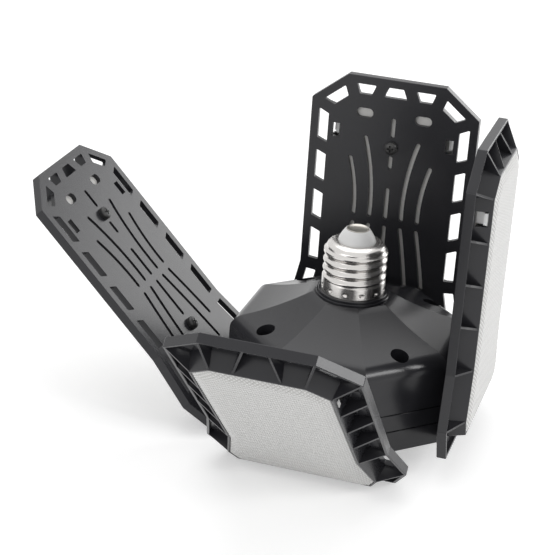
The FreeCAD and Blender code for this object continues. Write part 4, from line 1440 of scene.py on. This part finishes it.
class GARAGELIGHT_OT_screws(bpy.types.Operator):
    """Builds the housing's four screws and each panel's two"""
    bl_idname = "garage_light.screws"
    bl_label = "Build Screws"

    def execute(self, context):
        settings = context.scene.light_screws
        long_screw = pan_head_screw(settings, HOUSING_SCREW_LENGTH)
        ring = grown(shaded(long_screw), ring_tree(), screw_metal(), Count=4, Radius=SCREW_CIRCLE,
                     First_Angle=math.radians(45), Turn=0.6, Seed=3)
        ring.transform(Matrix.Translation((0, 0, SCREW_SEAT)))
        piece("housing_screw_set", ring, "housing", screw_metal(),
              ["housing_screws"])
        short = pan_head_screw(settings, BOARD_TOP)
        short.transform(Matrix.Rotation(math.pi, 4, "X"))
        rows = grid_tree()
        low, high = BOARD_SCREWS
        for number, side in enumerate(SIDES):
            pair = grown(shaded(short.copy()), rows, screw_metal(), Columns=2, Rows=1,
                         Column_Pitch=high - low, Row_Pitch=0.0, Turn=0.7, Seed=number)
            pair.transform(side_matrix(side) @ Matrix.Translation(((low + high) / 2, 0, 0)))
            piece("board_screw_set_" + side, pair, "panel_" + side, screw_metal(),
                  ["board_screws_" + side])
        return {"FINISHED"}


# ---------------------------------------------------------------- LEDs and inside parts

def led_package(settings):
    """One LED: a low box with bevelled edges and a sunk face."""
    x, y = settings.led_length / 2, settings.led_width / 2
    bm = bmesh.new()
    bm.from_mesh(block((-x, x), (-y, y), (0.0, settings.led_height)))
    bmesh.ops.bevel(bm, geom=bm.edges[:], offset=LED_BEVEL, segments=1, affect="EDGES")
    top = max(bm.faces, key=lambda f: f.calc_center_median().z)
    bmesh.ops.inset_region(bm, faces=[top], thickness=LED_WELL[0], depth=LED_WELL[1])
    return mesh_of(bm)


def coat(node, material):
    """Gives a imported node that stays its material."""
    target = frame["nodes"][node]
    if not target.material_slots:
        target.data.materials.append(material)
    for slot in target.material_slots:
        slot.material = material


class GARAGELIGHT_OT_lights(bpy.types.Operator):
    """Builds the LEDs and finishes the boards, the driver and the hinge pins"""
    bl_idname = "garage_light.lights"
    bl_label = "Build LEDs and Inside Parts"

    def execute(self, context):
        settings = context.scene.light_leds
        rows, package = grid_tree(), led_package(settings)
        for side in SIDES:
            leds = grown(package.copy(), rows, led_phosphor(), Columns=settings.panel_columns,
                         Rows=settings.panel_rows,
                         Column_Pitch=LED_AREA[0] / (settings.panel_columns - 1),
                         Row_Pitch=LED_AREA[1], Turn=0.0, Seed=0)
            leds.transform(side_matrix(side)
                           @ Matrix.Translation((sum(BOARD_SCREWS) / 2, 0, BOARD_TOP)))
            piece("led_set_" + side, leds, "panel_" + side, led_phosphor(),
                  ["led_chips_" + side])
        pitch = 2 * OPENING_APOTHEM / (settings.centre_rows + 1)
        leds = grown(package.copy(), rows, led_phosphor(), Columns=settings.centre_rows,
                     Rows=settings.centre_rows, Column_Pitch=pitch, Row_Pitch=pitch, Turn=0.0,
                     Seed=0)
        leds.transform(centre_matrix() @ Matrix.Translation((0, 0, -BASE_THICKNESS)))
        piece("led_set_centre", leds, "housing", led_phosphor(), ["centre_leds"])
        for side in SIDES:
            coat("led_board_" + side, board_aluminium())
            coat("hinge_pin_" + side, pin_steel())
        for node, material in (("centre_led_board", board_aluminium()),
                               ("driver_board", green_board()), ("transformer", winding_tape()),
                               ("filter_capacitor", component_black()),
                               ("rectifier", component_black())):
            coat(node, material)
        return {"FINISHED"}


# ---------------------------------------------------------------- stage

def softbox(name, place, width, height, brightness):
    """A rectangular lamp of even brightness, aimed at the cap's foot."""
    data = bpy.data.lights.new(name, "AREA")
    data.shape = "RECTANGLE"
    data.size, data.size_y = width, height
    data.energy = brightness * math.pi * width * height
    lamp = linked(name, data)
    lamp.location = place
    lamp.rotation_euler = (-Vector(place)).to_track_quat("-Z", "Y").to_euler()


def seen_plainly(tree):
    """1 for the rays that show the background: to the camera, in gloss and through plastic."""
    rays = tree.nodes.new("ShaderNodeLightPath")
    total = rays.outputs["Is Camera Ray"]
    for name in ("Is Glossy Ray", "Is Transmission Ray"):
        add = tree.nodes.new("ShaderNodeMath")
        add.operation = "MAXIMUM"
        tree.links.new(total, add.inputs[0])
        tree.links.new(rays.outputs[name], add.inputs[1])
        total = add.outputs[0]
    return total


def pale_room(strength):
    """Even light all round, which shows as white."""
    world = bpy.data.worlds.new("Pale Room")
    world.use_nodes = True
    tree = world.node_tree
    background = tree.nodes["Background"]
    background.inputs["Color"].default_value = (1.0, 1.0, 1.0, 1.0)
    level = tree.nodes.new("ShaderNodeMapRange")
    level.inputs["To Min"].default_value = strength
    level.inputs["To Max"].default_value = 1.0
    tree.links.new(seen_plainly(tree), level.inputs["Value"])
    tree.links.new(level.outputs[0], background.inputs["Strength"])
    return world


def floor_material(colour):
    """Pale floor that keeps the light's shadow and is lifted to white where it is fully lit."""
    made = finish("Pale Floor", colour, tint(colour, 0.985), roughness=0.9, variation=0.05,
                  mottle=3.0, grain=40.0, depth=0.0)
    tree = made.node_tree
    shader = tree.nodes["Principled BSDF"]
    lift = tree.nodes.new("ShaderNodeMath")
    lift.operation = "MULTIPLY"
    lift.inputs[1].default_value = FLOOR_LIFT
    tree.links.new(seen_plainly(tree), lift.inputs[0])
    shader.inputs["Emission Color"].default_value = (1.0, 1.0, 1.0, 1.0)
    tree.links.new(lift.outputs[0], shader.inputs["Emission Strength"])
    return made


class GARAGELIGHT_OT_stage(bpy.types.Operator):
    """Sets the camera, the lamps, the pale room and the floor"""
    bl_idname = "garage_light.stage"
    bl_label = "Set Stage"

    def execute(self, context):
        scene, stage = context.scene, context.scene.light_stage
        data = bpy.data.cameras.new("Camera")
        data.sensor_width, data.lens = SENSOR_WIDTH, stage.focal_length
        data.clip_start, data.clip_end = CLIP_RANGE
        camera = linked("Camera", data)
        turn = (Matrix.Rotation(stage.azimuth, 4, "Z")
                @ Matrix.Rotation(math.pi / 2 - stage.elevation, 4, "X")
                @ Matrix.Rotation(stage.roll, 4, "Z"))
        camera.matrix_world = Matrix.Translation(stage.camera_place) @ turn
        scene.camera = camera
        for name, place, (width, height), setting in LAMPS:
            softbox(name, place, width, height, getattr(stage, setting))
        scene.world = pale_room(stage.room_light)
        scene.view_settings.view_transform = "Standard"
        half = FLOOR_HALF_WIDTH
        floor = linked("floor", prism([(-half, -half), (half, -half), (half, half), (-half, half)],
                                      stage.floor_level - FLOOR_THICKNESS, stage.floor_level))
        floor.data.materials.append(floor_material(tuple(stage.floor_colour)))
        return {"FINISHED"}


class GARAGELIGHT_PT_sidebar(bpy.types.Panel):
    """Lists the steps that build the light, with their sizes"""
    bl_idname = "GARAGELIGHT_PT_sidebar"
    bl_label = "Garage Light"
    bl_space_type = "VIEW_3D"
    bl_region_type = "UI"
    bl_category = "Garage Light"

    def draw(self, context):
        for operator, settings in STEPS:
            box = self.layout.box()
            box.operator(operator)
            group = getattr(context.scene, settings)
            for name in group.__annotations__:
                box.prop(group, name)


STEPS = (("garage_light.cap", "light_cap"), ("garage_light.housing", "light_housing"),
         ("garage_light.panels", "light_panels"), ("garage_light.diffusers", "light_lens"),
         ("garage_light.screws", "light_screws"), ("garage_light.lights", "light_leds"),
         ("garage_light.stage", "light_stage"))
SETTINGS = {"light_cap": CapSettings, "light_housing": HousingSettings,
            "light_panels": PanelSettings, "light_lens": LensSettings,
            "light_screws": ScrewSettings, "light_leds": LightSettings,
            "light_stage": StageSettings}
CLASSES = tuple(SETTINGS.values()) + (GARAGELIGHT_OT_cap, GARAGELIGHT_OT_housing,
                                      GARAGELIGHT_OT_panels, GARAGELIGHT_OT_diffusers,
                                      GARAGELIGHT_OT_screws, GARAGELIGHT_OT_lights,
                                      GARAGELIGHT_OT_stage, GARAGELIGHT_PT_sidebar)


def register():
    for cls in CLASSES:
        bpy.utils.register_class(cls)
    for name, cls in SETTINGS.items():
        setattr(bpy.types.Scene, name, bpy.props.PointerProperty(type=cls))


def unregister():
    for name in SETTINGS:
        delattr(bpy.types.Scene, name)
    for cls in reversed(CLASSES):
        bpy.utils.unregister_class(cls)


def main():
    register()
    bpy.ops.garage_light.cap()
    bpy.ops.garage_light.housing()
    bpy.ops.garage_light.panels()
    bpy.ops.garage_light.diffusers()
    bpy.ops.garage_light.screws()
    bpy.ops.garage_light.lights()
    bpy.ops.garage_light.stage()


if __name__ == "__main__":
    main()
